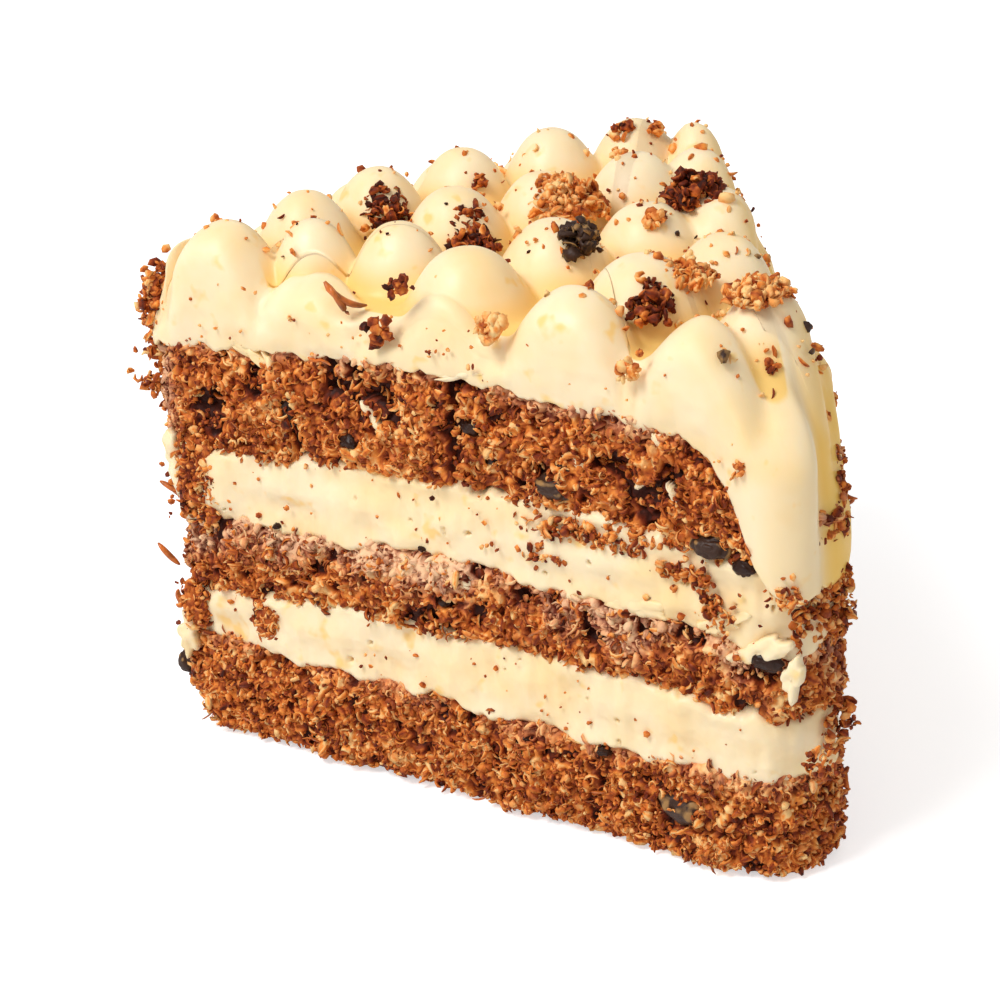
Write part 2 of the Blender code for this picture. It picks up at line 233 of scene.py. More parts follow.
class Slice:
    """The slice's outline and surfaces, in millimetres about the cake's axis."""

    def __init__(self, sizes):
        self.rim = sizes.rim_radius / MM
        self.angle = sizes.wedge_angle
        self.point = sizes.point_break / MM
        self.axis_x = SPONGE_LOW_EDGE + self.rim + RIM_BULGE
        self.domes = self.piped_domes()

    def polar(self, radius, degrees):
        """The place at this distance from the axis and this angle from the front cut."""
        turn = math.pi + self.angle / 2 - np.radians(degrees)
        return np.stack([radius * np.cos(turn), radius * np.sin(turn)], axis=-1)

    def on_front(self, along, height, out):
        """Places on the front cut: so far along it from the axis, at a height, and so far out."""
        half = self.angle / 2
        along, height, out = np.broadcast_arrays(along, height, out)
        x = -along * math.cos(half) + out * math.sin(half)
        y = -along * math.sin(half) - out * math.cos(half)
        return np.stack([x, y, height], axis=-1)

    def outline(self, count):
        """The outline, anticlockwise and evenly spaced.

        A ray turns about the hub, and its reach is the soft minimum (a high negative power
        mean) of its distances to the two cuts, the broken point and the rim.
        """
        turn = np.linspace(0, 2 * math.pi, 4000, endpoint=False)
        ray = np.stack([np.cos(turn), np.sin(turn)], axis=1)
        half = self.angle / 2
        flats = (
            (np.array([math.sin(half), -math.cos(half)]), 0.0),
            (np.array([math.sin(half), math.cos(half)]), 0.0),
            (np.array([1.0, 0.0]), -self.point),
        )
        along = ray @ HUB
        to_rim = np.sqrt(along**2 - HUB @ HUB + self.rim**2) - along
        inverse = to_rim**-CORNER_SHARPNESS
        for normal, distance in flats:
            nearness = np.maximum(ray @ normal, 0) / (distance - HUB @ normal)
            inverse = inverse + nearness**CORNER_SHARPNESS
        points = HUB + ray * (inverse ** (-1 / CORNER_SHARPNESS))[:, None]
        loop = np.vstack([points, points[:1]])
        steps = np.linalg.norm(np.diff(loop, axis=0), axis=1)
        length = np.concatenate([[0], np.cumsum(steps)])
        stations = np.linspace(0, length[-1], count, endpoint=False)
        return np.stack([np.interp(stations, length, loop[:, i]) for i in (0, 1)], axis=1)

    def rim_share(self, plan):
        """1 on the cake's rim, 0 well inside it."""
        from_axis = np.linalg.norm(plan, axis=1)
        return smooth_step((from_axis - self.rim + RIM_REACH) / RIM_REACH)

    def boundary(self, layer, plan):
        """Height of a boundary: its end level, plus its crown midway, plus two waves."""
        x, y = plan.T
        from_axis = np.hypot(x, y)
        crown = CROWNS[layer] * (1 - ((from_axis - CROWN_RADIUS) / CROWN_REACH) ** 2)
        wave = np.sin(0.13 * x + 1.9 * layer) * np.cos(0.15 * y - 1.3 * layer)
        wave = wave + 0.6 * np.sin(0.29 * x - 0.23 * y + 2.7 * layer)
        height = LEVELS[layer] + crown + WAVE * wave
        if layer == len(LEVELS) - 1:
            nearness = (SLUMP_FROM - from_axis) / (SLUMP_FROM - self.point)
            height = height - POINT_SLUMP * smooth_step(nearness)
        return height

    def piped_domes(self):
        """Every dome as (place, radius, height), a little uneven, and last the low nose at the point."""
        rng = np.random.default_rng(DOME_SEED)
        piped = []
        for ring, radius, angles in PIPED_RINGS:
            for degrees in angles:
                size = 1 + 0.05 * rng.uniform(-1, 1)
                place = self.polar(ring + rng.uniform(-1, 1), degrees)
                piped.append((place, radius * size, DOME_HEIGHT * size))
        distance, degrees, radius, height = NOSE
        piped.append((self.polar(distance, degrees), radius, height))
        return piped

    def dome_swell(self, loop):
        """1 where a dome stands at the outline, falling as a circle's edge does, 0 between."""
        swell = np.zeros(len(loop))
        for centre, radius, _ in self.domes[:-1]:
            away = np.linalg.norm(loop - centre, axis=1)
            along = np.sqrt(np.maximum(away**2 - away.min() ** 2, 0)) / radius
            nearness = smooth_step(1.6 - away.min() / 5.0)
            swell = np.maximum(swell, nearness * np.sqrt(np.maximum(1 - along**2, 0)))
        return swell

    def cream_top(self, plan):
        """Height of the piped cream: the soft maximum of its bed and all the round domes."""
        share = (-plan[:, 0] - self.point) / (BED_SLOPE_FROM - self.point)
        bed = BED_AT_POINT + (CREAM_BED - BED_AT_POINT) * smooth_step(share)
        raised = np.ones(len(plan))
        for centre, radius, height in self.domes:
            share = np.linalg.norm(plan - centre, axis=1) / radius
            dome = height * (1 - np.minimum(share, 3.0) ** DOME_ROUNDNESS)
            raised = raised + np.exp(DOME_BLEND * dome)
        return bed + np.log(raised) / DOME_BLEND


def outward(loop):
    """Unit vectors out of an anticlockwise loop."""
    along = np.roll(loop, -1, axis=0) - np.roll(loop, 1, axis=0)
    along = along / np.linalg.norm(along, axis=1, keepdims=True)
    return np.stack([along[:, 1], -along[:, 0]], axis=1)


def wobble(loop, phase):
    """Small unevenness of a cut face, as two slow waves of the place along it."""
    x, y = loop.T
    slow = np.sin(0.17 * x + 0.11 * y + phase)
    quick = np.sin(0.41 * x - 0.33 * y + 2.3 * phase)
    return WOBBLE * (0.65 * slow + 0.35 * quick)


# ------------------------------------------------------------------ meshes


def grid_faces(rows, count):
    """Quads of a grid of rows round a closed loop, facing outwards for rows going up."""
    i = np.arange(rows - 1)[:, None] * count
    j = np.arange(count)[None, :]
    k = np.roll(j, -1)
    quads = np.stack([i + j, i + k, i + count + k, i + count + j], axis=-1)
    return quads.reshape(-1, 4)


def fan_faces(centre, first, count, up):
    """Triangles from a centre point to a loop of points."""
    j = first + np.arange(count)
    k = np.roll(j, -1)
    pair = (j, k) if up else (k, j)
    return np.stack([np.full(count, centre), *pair], axis=1)


def add_piece(name, shape, points, quads, triangles, finish, marks=None, slot=None):
    """A mesh piece: points in millimetres about the cake's axis, moved into the frame."""
    mesh = bpy.data.meshes.new(name)
    placed = (np.asarray(points) + [shape.axis_x, 0, 0]) * MM
    mesh.vertices.add(len(placed))
    mesh.vertices.foreach_set("co", placed.astype(np.float32).ravel())
    quads = np.asarray(quads, np.int32).reshape(-1, 4)
    triangles = np.asarray(triangles, np.int32).reshape(-1, 3)
    corners = np.concatenate([quads.ravel(), triangles.ravel()])
    mesh.loops.add(len(corners))
    mesh.loops.foreach_set("vertex_index", corners)
    starts = np.concatenate(
        [np.arange(len(quads)) * 4, len(quads) * 4 + np.arange(len(triangles)) * 3]
    )
    mesh.polygons.add(len(starts))
    mesh.polygons.foreach_set("loop_start", starts.astype(np.int32))
    mesh.update(calc_edges=True)
    mesh.validate()
    mesh.shade_smooth()
    for mark, values in (marks or {}).items():
        layer = mesh.attributes.new(mark, "FLOAT", "POINT")
        layer.data.foreach_set("value", np.asarray(values, np.float32))
    mesh.materials.append(finish)
    made = bpy.data.objects.new(name, mesh)
    bpy.context.scene.collection.objects.link(made)
    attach(made, "root")
    return made


# ------------------------------------------------------------------ materials


class Nodes:
    """Short helpers for a material's nodes."""

    def __init__(self, name):
        found = bpy.data.materials.get(name)
        self.fresh = found is None
        self.material = found or bpy.data.materials.new(name)
        if self.fresh:
            self.material.use_nodes = True
            self.tree = self.material.node_tree
            self.shader = self.tree.nodes["Principled BSDF"]

    def add(self, kind, **values):
        made = self.tree.nodes.new(kind)
        for key, value in values.items():
            if key in made.inputs:
                made.inputs[key].default_value = value
            else:
                setattr(made, key, value)
        return made

    def link(self, source, target):
        self.tree.links.new(source, target)

    def place(self):
        return self.add("ShaderNodeTexCoord").outputs["Object"]

    def noise(self, scale, detail=3.0, place=None):
        made = self.add("ShaderNodeTexNoise", Scale=scale, Detail=detail)
        self.link(place or self.place(), made.inputs["Vector"])
        return made.outputs["Fac"]

    def mark(self, name):
        made = self.add("ShaderNodeAttribute")
        made.attribute_name = name
        return made.outputs["Fac"]

    def maths(self, operation, first, second):
        made = self.add("ShaderNodeMath")
        made.operation = operation
        for socket, value in zip(made.inputs, (first, second)):
            if isinstance(value, (int, float)):
                socket.default_value = value
            else:
                self.link(value, socket)
        return made.outputs[0]

    def ramp(self, value, stops):
        made = self.add("ShaderNodeValToRGB")
        while len(made.color_ramp.elements) < len(stops):
            made.color_ramp.elements.new(0.5)
        for element, (place, colour) in zip(made.color_ramp.elements, stops):
            element.position = place
            element.color = (*colour, 1)
        self.link(value, made.inputs["Fac"])
        return made.outputs["Color"]

    def mix(self, share, first, second):
        made = self.add("ShaderNodeMix")
        made.data_type = "RGBA"
        for socket, value in ((made.inputs[0], share), (made.inputs[6], first), (made.inputs[7], second)):
            if isinstance(value, (int, float)):
                socket.default_value = value
            elif isinstance(value, tuple):
                socket.default_value = (*value, 1)
            else:
                self.link(value, socket)
        return made.outputs[2]

    def bump(self, height, strength, distance):
        made = self.add("ShaderNodeBump", Strength=strength, Distance=distance)
        self.link(height, made.inputs["Height"])
        self.link(made.outputs["Normal"], self.shader.inputs["Normal"])


def crumb_finish(colours, name="carrot sponge", deepen=0.0):
    """Open crumb: painted shade, dark in its pits, and painted highlight, tan to pale on raised flakes and
    flake edges; redder in places, smeared in places.
    """
    n = Nodes(name)
    if not n.fresh:
        return n.material
    tone = n.maths("MULTIPLY", n.maths("SUBTRACT", n.mark("tone"), 0.5 + deepen), 0.42)
    grain = n.maths("MULTIPLY", n.maths("SUBTRACT", n.noise(1100.0), 0.5), 0.5)
    # The relief mark paints light and shade: low crumb runs to the pit colour, painted shade in the pits,
    # and raised crumb and flake edges run to the pale colour, painted highlight; tone and grain are the
    # crumb's own random variation.
    level = n.maths("ADD", n.maths("ADD", n.mark("relief"), tone), grain)
    golden = n.ramp(
        level,
        (
            (0.16, tuple(colours.pit)),
            (0.39, tuple(colours.crumb_dark)),
            (0.58, tuple(colours.crumb)),
            (0.76, tuple(colours.crumb_light)),
            (0.93, tuple(colours.crumb_pale_highlight)),
        ),
    )
    red = n.ramp(
        level,
        (
            (0.10, tuple(colours.pit)),
            (0.45, tuple(colours.topping_dark)),
            (0.75, tuple(colours.crumb)),
            (1.0, tuple(colours.crumb_light)),
        ),
    )
    shade = n.mix(n.ramp(n.noise(420.0), ((0.45, (0.0,) * 3), (0.62, (0.8,) * 3))), golden, red)
    smeared = n.maths("MULTIPLY", n.mark("smear"), n.ramp(level, ((0.35, (0.0,) * 3), (0.7, (1.0,) * 3))))
    n.link(n.mix(smeared, shade, tuple(colours.smear)), n.shader.inputs["Base Color"])
    n.link(n.ramp(n.noise(800.0), ((0.3, (0.45,) * 3), (0.7, (0.85,) * 3))), n.shader.inputs["Roughness"])
    n.shader.inputs["Specular IOR Level"].default_value = 0.22
    n.bump(n.noise(2600.0), 0.3, 0.0003)
    return n.material


def cream_finish(colours):
    """Cream: pale, a little warmer in slow patches and stains, with painted shade as a warmer tone in
    creases, recesses and on the far side, and with soft uneven gloss.
    """
    n = Nodes("piped cream")
    if not n.fresh:
        return n.material
    patches = n.ramp(n.noise(90.0), ((0.42, (0.0,) * 3), (0.75, (0.45,) * 3)))
    # Painted shade: the shade mark makes the cream warmer in creases, recesses and on the far side, on top
    # of its own warmer patches and stains.
    warm_tone_and_shade = n.maths("MAXIMUM", patches, n.mark("painted_shade"))
    stains = n.ramp(n.noise(260.0, 2.0), ((0.60, (0.0,) * 3), (0.72, (0.7,) * 3)))
    warm_tone_and_shade = n.maths("MAXIMUM", warm_tone_and_shade, stains)
    n.link(n.mix(warm_tone_and_shade, tuple(colours.cream), tuple(colours.cream_warm_and_shade)), n.shader.inputs["Base Color"])
    n.link(n.ramp(n.noise(220.0), ((0.3, (0.38,) * 3), (0.7, (0.56,) * 3))), n.shader.inputs["Roughness"])
    n.shader.inputs["Subsurface Weight"].default_value = 0.2
    n.shader.inputs["Subsurface Radius"].default_value = (1.0, 0.7, 0.4)
    n.shader.inputs["Subsurface Scale"].default_value = 0.003
    n.bump(n.noise(700.0), 0.1, 0.0003)
    return n.material


def nut_finish(colours, name="walnut flesh", skin=0.45):
    """Walnut: dull flesh, with a dark skin where its mark is low."""
    n = Nodes(name)
    if not n.fresh:
        return n.material
    grain = n.maths("MULTIPLY", n.maths("SUBTRACT", n.noise(900.0), 0.5), 0.6)
    level = n.maths("ADD", n.mark("relief"), grain)
    stops = ((skin - 0.1, tuple(colours.nut_skin)), (skin + 0.1, tuple(colours.nut)))
    n.link(n.ramp(level, stops), n.shader.inputs["Base Color"])
    n.link(n.ramp(n.noise(600.0), ((0.3, (0.4,) * 3), (0.7, (0.7,) * 3))), n.shader.inputs["Roughness"])
    n.shader.inputs["Specular IOR Level"].default_value = 0.3
    n.bump(n.noise(1800.0), 0.35, 0.0003)
    return n.material


def raisin_finish(colours):
    """Raisin: nearly black, glossy on its raised folds."""
    n = Nodes("raisin")
    if not n.fresh:
        return n.material
    shade = n.ramp(n.noise(500.0), ((0.4, tuple(colours.berry)), (0.75, tuple(colours.nut_skin))))
    n.link(shade, n.shader.inputs["Base Color"])
    n.link(n.ramp(n.noise(500.0), ((0.35, (0.22,) * 3), (0.7, (0.55,) * 3))), n.shader.inputs["Roughness"])
    n.shader.inputs["Specular IOR Level"].default_value = 0.18
    n.bump(n.noise(1400.0), 0.4, 0.0003)
    return n.material


def carrot_finish(colours):
    """Baked carrot shred: deep orange with browner stretches and a moist gloss."""
    n = Nodes("carrot shred")
    if not n.fresh:
        return n.material
    dark = tuple(0.4 * value for value in colours.carrot)
    shade = n.ramp(n.noise(500.0), ((0.35, dark), (0.65, tuple(colours.carrot))))
    n.link(shade, n.shader.inputs["Base Color"])
    n.link(n.ramp(n.noise(700.0), ((0.3, (0.25,) * 3), (0.7, (0.5,) * 3))), n.shader.inputs["Roughness"])
    n.bump(n.noise(1500.0), 0.3, 0.0003)
    return n.material


# ------------------------------------------------------------------ sponge


def crumb_relief(points, sizes, openness, seed):
    """Height of open crumb, and a tone: lumps, curled folds, hollows and pits.

    Places are first bent by noise. Lumps are the fall of the distance to the nearest grain.
    Curls are the ridges where noise passes one half. Pits open where slower noise is high,
    and caves where still slower noise is.
    """
    lump_size = sizes.lump / MM * openness
    curl_size = sizes.curl / MM * openness
    pit_depth = sizes.pit_depth / MM
    bend = np.stack([noise(points, 1.5, seed + i) for i in range(3)], axis=1) - 0.5
    bent = points + 1.5 * bend
    lump, tone = grains(bent, lump_size, seed + 10)
    curl = 1 - np.abs(2 * noise(bent, curl_size, seed + 20) - 1)
    heap = noise(points, 4.0 * openness, seed + 30) - 0.5
    pit = smooth_step((noise(points, 2.7 * openness, seed + 40) - 0.62) / 0.12)
    cave = smooth_step((noise(points, 6.5, seed + 50) - 0.72 + 0.12 * (openness - 0.8)) / 0.08)
    height = 0.95 * (0.55 - lump) + 0.9 * (curl - 0.65) + 1.1 * heap
    return height - pit_depth * ((openness - 0.5) * pit + 0.8 * (openness - 0.7) * cave), tone


def sponge_smear(shape, index, points):
    """How much cream is drawn over the crumb: most under a filling, and in strips on the rim."""
    plan = points[:, :2]
    below = shape.boundary(index, plan) - points[:, 2]
    patchy = noise(points, 5.0, 70 + index)
    reach = (2.5, 0.0, 7.0, 0.0, 3.5)[index]
    top = smooth_step(1 - below / reach + 1.2 * (patchy - 0.5))
    rim = shape.rim_share(plan) ** 2 * smooth_step((noise(points * [1, 1, 0.6], 7.0, 75) - 0.56) / 0.1)
    return np.maximum((0.2, 0.0, 0.7, 0.0, 0.55)[index] * top, 0.85 * rim)


def sponge_layer(shape, sizes, index, openness, finish):
    """One sponge layer: a fine wall round the outline with crumb relief, closed by caps.

    The wall's rows run from the layer's lower to its upper boundary. Each row is the outline
    moved out by the wobble, a bulge that is a sine of the height, less an edge rounding, and
    then by the crumb relief. It returns the wall's points, normals and marks.
    """
    step = sizes.crumb_step / MM
    loop = shape.outline(int(300 / step))
    normal = outward(loop)
    low = np.zeros(len(loop)) if index == 0 else shape.boundary(index - 1, loop) - 0.8
    high = shape.boundary(index, loop) + 0.8
    rows = int(np.mean(high - low) / step)
    share = np.linspace(0, 1, rows)[:, None]
    height = low + (high - low) * share
    edge = np.minimum(height - low, high - height)
    rounding = 1.6 * (1 - np.clip(edge / 1.6, 0, 1)) ** 2
    if index == 0:
        reach = BASE_ROUND * shape.rim_share(loop) + 0.8
        under = np.clip(1 - (height - low) / reach, 0, 1)
        rounding = np.maximum(0.6 * rounding, reach * (1 - np.sqrt(1 - under**2)))
    out = wobble(loop, index) + SPONGE_BULGE * np.sin(math.pi * share) - rounding
    out = out - RIM_TRIM * shape.rim_share(loop)
    wall = np.concatenate([loop + normal * out[..., None], height[..., None]], axis=2)
    flat = wall.reshape(-1, 3)
    facing = np.tile(space(normal), (rows, 1))
    relief, tone = crumb_relief(flat, sizes, openness, 100 * index + 5)
    fold = np.stack([noise(flat, 0.95, 900 + 10 * index + i) for i in range(3)], axis=1) - 0.5
    moved = flat + relief[:, None] * facing + 0.9 * fold
    moved[:, 2] = np.maximum(moved[:, 2], 0)
    count = len(loop)
    if index == 0:
        moved[:count, 2] = 0
    low_cap = cap_rings(moved[:count], (0.3, 0.8, 0.97))
    high_cap = cap_rings(moved[-count:], (0.97, 0.8, 0.3))
    points = np.vstack([low_cap, moved, high_cap])
    # The relief's height becomes the mark that paints shade in the pits and highlight on raised crumb.
    relief_mark = np.clip((relief + 1.5) / 2.3, 0, 1)
    smear = sponge_smear(shape, index, flat)
    marks = {"relief": relief_mark, "tone": tone, "smear": smear}
    padded = {name: pad(values, 3 * count, 3 * count + 2, 0.4) for name, values in marks.items()}
    made = close_and_add(
        SPONGES[index] + "_crumb", shape, points, rows + 6, count, finish, padded, "sponge"
    )
    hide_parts(SPONGES[index])
    return moved, facing, marks


SPONGES = {0: "sponge_bottom", 2: "sponge_middle", 4: "sponge_top"}
FILLINGS = {1: "filling_lower", 3: "filling_upper"}


def close_and_add(name, shape, points, rows, count, finish, marks, slot):
    """A piece from rows of rings, closed by a point in the middle of its first and last ring."""
    ends = [[*HUB, points[:count, 2].mean()], [*HUB, points[-count:, 2].mean()]]
    low = fan_faces(len(points), 0, count, False)
    high = fan_faces(len(points) + 1, (rows - 1) * count, count, True)
    return add_piece(
        name,
        shape,
        np.vstack([points, ends]),
        grid_faces(rows, count),
        np.vstack([low, high]),
        finish,
        marks,
        slot,
    )


def cap_rings(edge, shares):
    """Rings between the hub and an edge ring, at these shares of the way out."""
    middle = np.array([*HUB, edge[:, 2].mean()])
    return np.vstack([middle + share * (edge - middle) for share in shares])


def pad(values, before, after, fill):
    """Values with a constant before and after them."""
    return np.concatenate([np.full(before, fill), values, np.full(after, fill)])


# ------------------------------------------------------------------ fillings


def filling_layer(shape, index, finish):
    """One cream filling: a wall round the outline, dragged by the knife, closed by caps.

    Rows run between the boundaries. Each is the outline moved by slow noise stretched along
    the cut, by finer drag marks, and by a rounding at both edges, whose heights waver.
    """
    loop = shape.outline(1000)
    normal = outward(loop)
    at_loop = space(loop)
    waver = [1.6 * (noise(at_loop, 3.5, 340 + index + i) - 0.5) for i in (0, 7)]
    waver = [w + 0.9 * (noise(at_loop, 1.3, 350 + index + i) - 0.5) for i, w in enumerate(waver)]
    low = shape.boundary(index - 1, loop) - 1.0 + waver[0]
    high = shape.boundary(index, loop) + 0.8 + waver[1]
    rows = 46
    share = np.linspace(0, 1, rows)[:, None]
    height = low + (high - low) * share
    edge = np.minimum(height - low, high - height)
    rounding = 1.6 * (1 - np.clip(edge / 1.4, 0, 1)) ** 2
    out = wobble(loop, index) + 0.55 - rounding - RIM_TRIM * shape.rim_share(loop)
    wall = np.concatenate([loop + normal * out[..., None], height[..., None]], axis=2)
    flat = wall.reshape(-1, 3)
    slow = noise(flat * [0.5, 0.5, 0.8], 2.8, 300 + index) - 0.5
    drag = noise(flat * [0.9, 0.9, 0.3], 1.4, 320 + index) - 0.5
    fine = noise(flat, 0.8, 330 + index) - 0.5
    hole = smooth_step((noise(flat, 1.6, 360 + index) - 0.93) / 0.02)
    lift = 1.5 * slow + 0.55 * drag + 0.12 * fine - 1.6 * hole
    moved = flat + lift[:, None] * np.tile(space(normal), (rows, 1))
    count = len(loop)
    low_cap = cap_rings(moved[:count], (0.3, 0.8, 0.97))
    high_cap = cap_rings(moved[-count:], (0.97, 0.8, 0.3))
    points = np.vstack([low_cap, moved, high_cap])
    # Painted shade: where the filling sinks, in its drag marks and holes, the mark paints it warmer.
    painted_shade = np.clip(-0.5 * lift - 0.1, 0, 0.8)
    marks = {"painted_shade": pad(painted_shade, 3 * count, 3 * count + 2, 0.0)}
    made = close_and_add(
        FILLINGS[index] + "_cream", shape, points, rows + 6, count, finish, marks, "cream"
    )
    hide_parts(FILLINGS[index])
    return made


# ------------------------------------------------------------------ cream top


def cream_piece(shape, sizes, finish):
    """The piped top: its domes, a soft face down the cuts and the rim, and the tongue.

    Inside the shoulder ring the rows are shares of the way from the hub, at the height of
    the piped cream. The next rows turn over the shoulder in a quarter ellipse. At the point
    and on the far cut they drop from the cream's own height, and elsewhere from the
    shoulder's. The face's rows go down to the hanging edge, swelling in front of each dome,
    and the underside runs back to the hub inside the sponge. A mark of painted shade is 1
    where the cream's colour is warmest: painted shade in the low places between domes and
    on the far side, which the key lamp lights less.
    """
    count = 620
    loop = shape.outline(count)
    normal = outward(loop)
    index = len(LEVELS) - 1
    seat = shape.boundary(index, loop)
    rim = shape.rim_share(loop)
    aside = np.abs(loop[:, 1] - 0.5) / 9.0
    tongue = np.where(loop[:, 0] > HUB[0] / 2, smooth_step((1 - aside) * 2.2), 0)
    at_loop = space(loop)
    ragged = 1.3 * (noise(at_loop, 2.6, 41) - 0.5) + 0.9 * (noise(at_loop, 1.0, 42) - 0.5)
    hang = seat - 1.0 - ragged - sizes.tongue_drop / MM * tongue
    arris = np.exp(-(((loop[:, 1] + 2.5) / 2.6) ** 2)) * tongue
    outer = wobble(loop, index) + 0.9 + (sizes.tongue_thickness / MM - 0.4) * tongue + 1.3 * arris
    outer = outer - 1.4 * rim - 1.2 * tongue * smooth_step((loop[:, 1] + 1) / 3)
    swell = shape.dome_swell(loop)
    far_side = smooth_step((loop[:, 1] + 1) / 4) * (1 - rim)
    radius = (
        3.0 + 3.4 * tongue + 2.6 * swell * (1 - tongue) + (3.2 * rim + 2.2 * far_side) * (1 - 0.7 * swell)
    )
    inset = 1.6 * rim + 2.4 * far_side
    shoulder = loop + normal * (outer - radius - inset)[:, None]

    def soft_top(plan):
        """Height of the piped cream with its slow and fine unevenness."""
        at = space(plan)
        return shape.cream_top(plan) + 0.5 * (noise(at, 6.0, 61) - 0.5) + 0.1 * (noise(at, 1.6, 62) - 0.5)

    shoulder_top = shape.cream_top(shoulder)
    shares = np.linspace(0.0, 1.0, 104)[1:]
    flat = (HUB + shares[:, None, None] * (shoulder - HUB)).reshape(-1, 2)
    top = soft_top(flat)
    upper = np.column_stack([flat, top])
    bed = CREAM_BED + DOME_HEIGHT
    # Painted shade: the cream is painted warmer where it lies lower than the dome tops, in the low places
    # between domes.
    painted_shade = [smooth_step((bed - 2.4 - top) / 6.0) * 0.85]
    rows = []
    edge_lift = upper[-count:, 2] - shoulder_top
    drop = np.minimum(0.85 * radius, 0.5 * (shoulder_top - hang))
    bulge = 1.9 * (swell - 0.45) * (1 - tongue)
    follow = np.maximum(tongue, far_side)
    turned_to_face = []
    for turn in np.linspace(0, math.pi / 2, 11)[1:]:
        across = math.sin(turn)
        out = outer - radius * (1 - across) - inset + bulge * across
        plan = loop + normal * out[:, None]
        above = follow * soft_top(plan) + (1 - follow) * (shoulder_top + edge_lift * (1 - across))
        rows.append(np.column_stack([plan, above - drop * (1 - math.cos(turn))]))
        turned_to_face.append(across**2)
    face_top = rows[-1][:, 2]
    for share in np.linspace(0, 1, 26)[1:]:
        height = face_top + (hang - face_top) * share
        out = outer + bulge * (1 - share) ** 1.5 + 0.4 * np.sin(math.pi * share) * (1 - tongue)
        out = out - inset * (1 - smooth_step(share))
        row = np.column_stack([loop, height])
        dent = 0.8 * (noise(row * [1, 1, 0.6], 5.0, 71) - 0.5) + 0.22 * (noise(row, 1.5, 72) - 0.5)
        row[:, :2] += normal * (out + dent * min(1.0, 3 * share))[:, None]
        rows.append(row)
        turned_to_face.append(1.0)
    faces = np.stack(rows)
    # Painted shade: the far side, which the key lamp lights less, and the dips of the face between domes are
    # painted warmer, more as the rows turn to the face.
    shaded = smooth_step((loop[:, 1] + 1.0) / 4.5) * (1 - rim)
    valley_shade = 0.35 * np.clip(0.5 - swell, 0, 1)
    painted_shade.append(np.outer(turned_to_face, np.maximum(shaded, valley_shade)).ravel())
    inner = wobble(loop, index) - 0.6 + 0.6 * tongue
    under = (
        (outer - 0.5, hang - 0.25),
        (inner, hang + 0.1),
        (inner, np.maximum(seat - 0.5, hang + 0.2)),
    )
    below = [np.column_stack([loop + normal * out[:, None], height]) for out, height in under]
    below.append(np.column_stack([HUB + 0.9 * (loop - HUB), seat - 0.3]))
    below.append(np.column_stack([HUB + 0.4 * (loop - HUB), np.full(count, LEVELS[index])]))
    grid = np.vstack([upper, faces.reshape(-1, 3), *below])
    total = len(grid) // count
    marks = {"painted_shade": pad(np.concatenate(painted_shade), 0, len(below) * count + 2, 0.0)}
    ends = [[*HUB, shape.cream_top(HUB[None, :])[0]], [*HUB, LEVELS[index]]]
    high = fan_faces(len(grid), 0, count, True)
    low = fan_faces(len(grid) + 1, (total - 1) * count, count, False)
    made = add_piece(
        "cream_top_piped",
        shape,
        np.vstack([grid, ends]),
        grid_faces(total, count)[:, ::-1],
        np.vstack([high, low]),
        finish,
        marks,
        "cream",
    )
    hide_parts("cream_top")
    return made


# ------------------------------------------------------------------ scattered crumbs


def ball(detail):
    """Points and triangles of a round ball of radius 1."""
    body = bmesh.new()
    bmesh.ops.create_icosphere(body, subdivisions=detail, radius=1.0)
    points = np.array([vertex.co[:] for vertex in body.verts])
    faces = np.array([[vertex.index for vertex in face.verts] for face in body.faces])
    body.free()
    return points, faces


def turned(count, rng):
    """Random turns as matrices, from random unit quaternions."""
    quaternion = rng.normal(size=(4, count))
    w, x, y, z = quaternion / np.linalg.norm(quaternion, axis=0)
    rows = [
        [1 - 2 * (y * y + z * z), 2 * (x * y - z * w), 2 * (x * z + y * w)],
        [2 * (x * y + z * w), 1 - 2 * (x * x + z * z), 2 * (y * z - x * w)],
        [2 * (x * z - y * w), 2 * (y * z + x * w), 1 - 2 * (x * x + y * y)],
    ]
    return np.moveaxis(np.array(rows), 2, 0)


class Loose:
    """Loose bits gathered into one mesh: points, quads, triangles and marks."""

    def __init__(self):
        self.points = []
        self.quads = []
        self.triangles = []
        self.marks = {"relief": [], "tone": [], "smear": []}
        self.count = 0

    def gather(self, points, faces, relief, tone, smear):
        """Adds shapes as (shape, point, 3) points, one shape's faces, and marks."""
        shapes, each = points.shape[:2]
        starts = self.count + (np.arange(shapes) * each)[:, None, None]
        joined = (faces[None] + starts).reshape(-1, faces.shape[1])
        (self.quads if faces.shape[1] == 4 else self.triangles).append(joined)
        self.points.append(points.reshape(-1, 3))
        for name, values in (("relief", relief), ("tone", tone), ("smear", smear)):
            spread = np.broadcast_to(np.asarray(values, float), (shapes, each))
            self.marks[name].append(spread.reshape(-1))
        self.count += shapes * each

    def add(self, name, shape, finish, slot="crumb"):
        """Makes the mesh piece."""
        quads = np.vstack(self.quads) if self.quads else np.empty((0, 4), int)
        triangles = np.vstack(self.triangles) if self.triangles else np.empty((0, 3), int)
        marks = {mark: np.concatenate(values) for mark, values in self.marks.items()}
        points = np.vstack(self.points)
        points[:, 2] = np.maximum(points[:, 2], 0.02)
        return add_piece(name, shape, points, quads, triangles, finish, marks, slot)


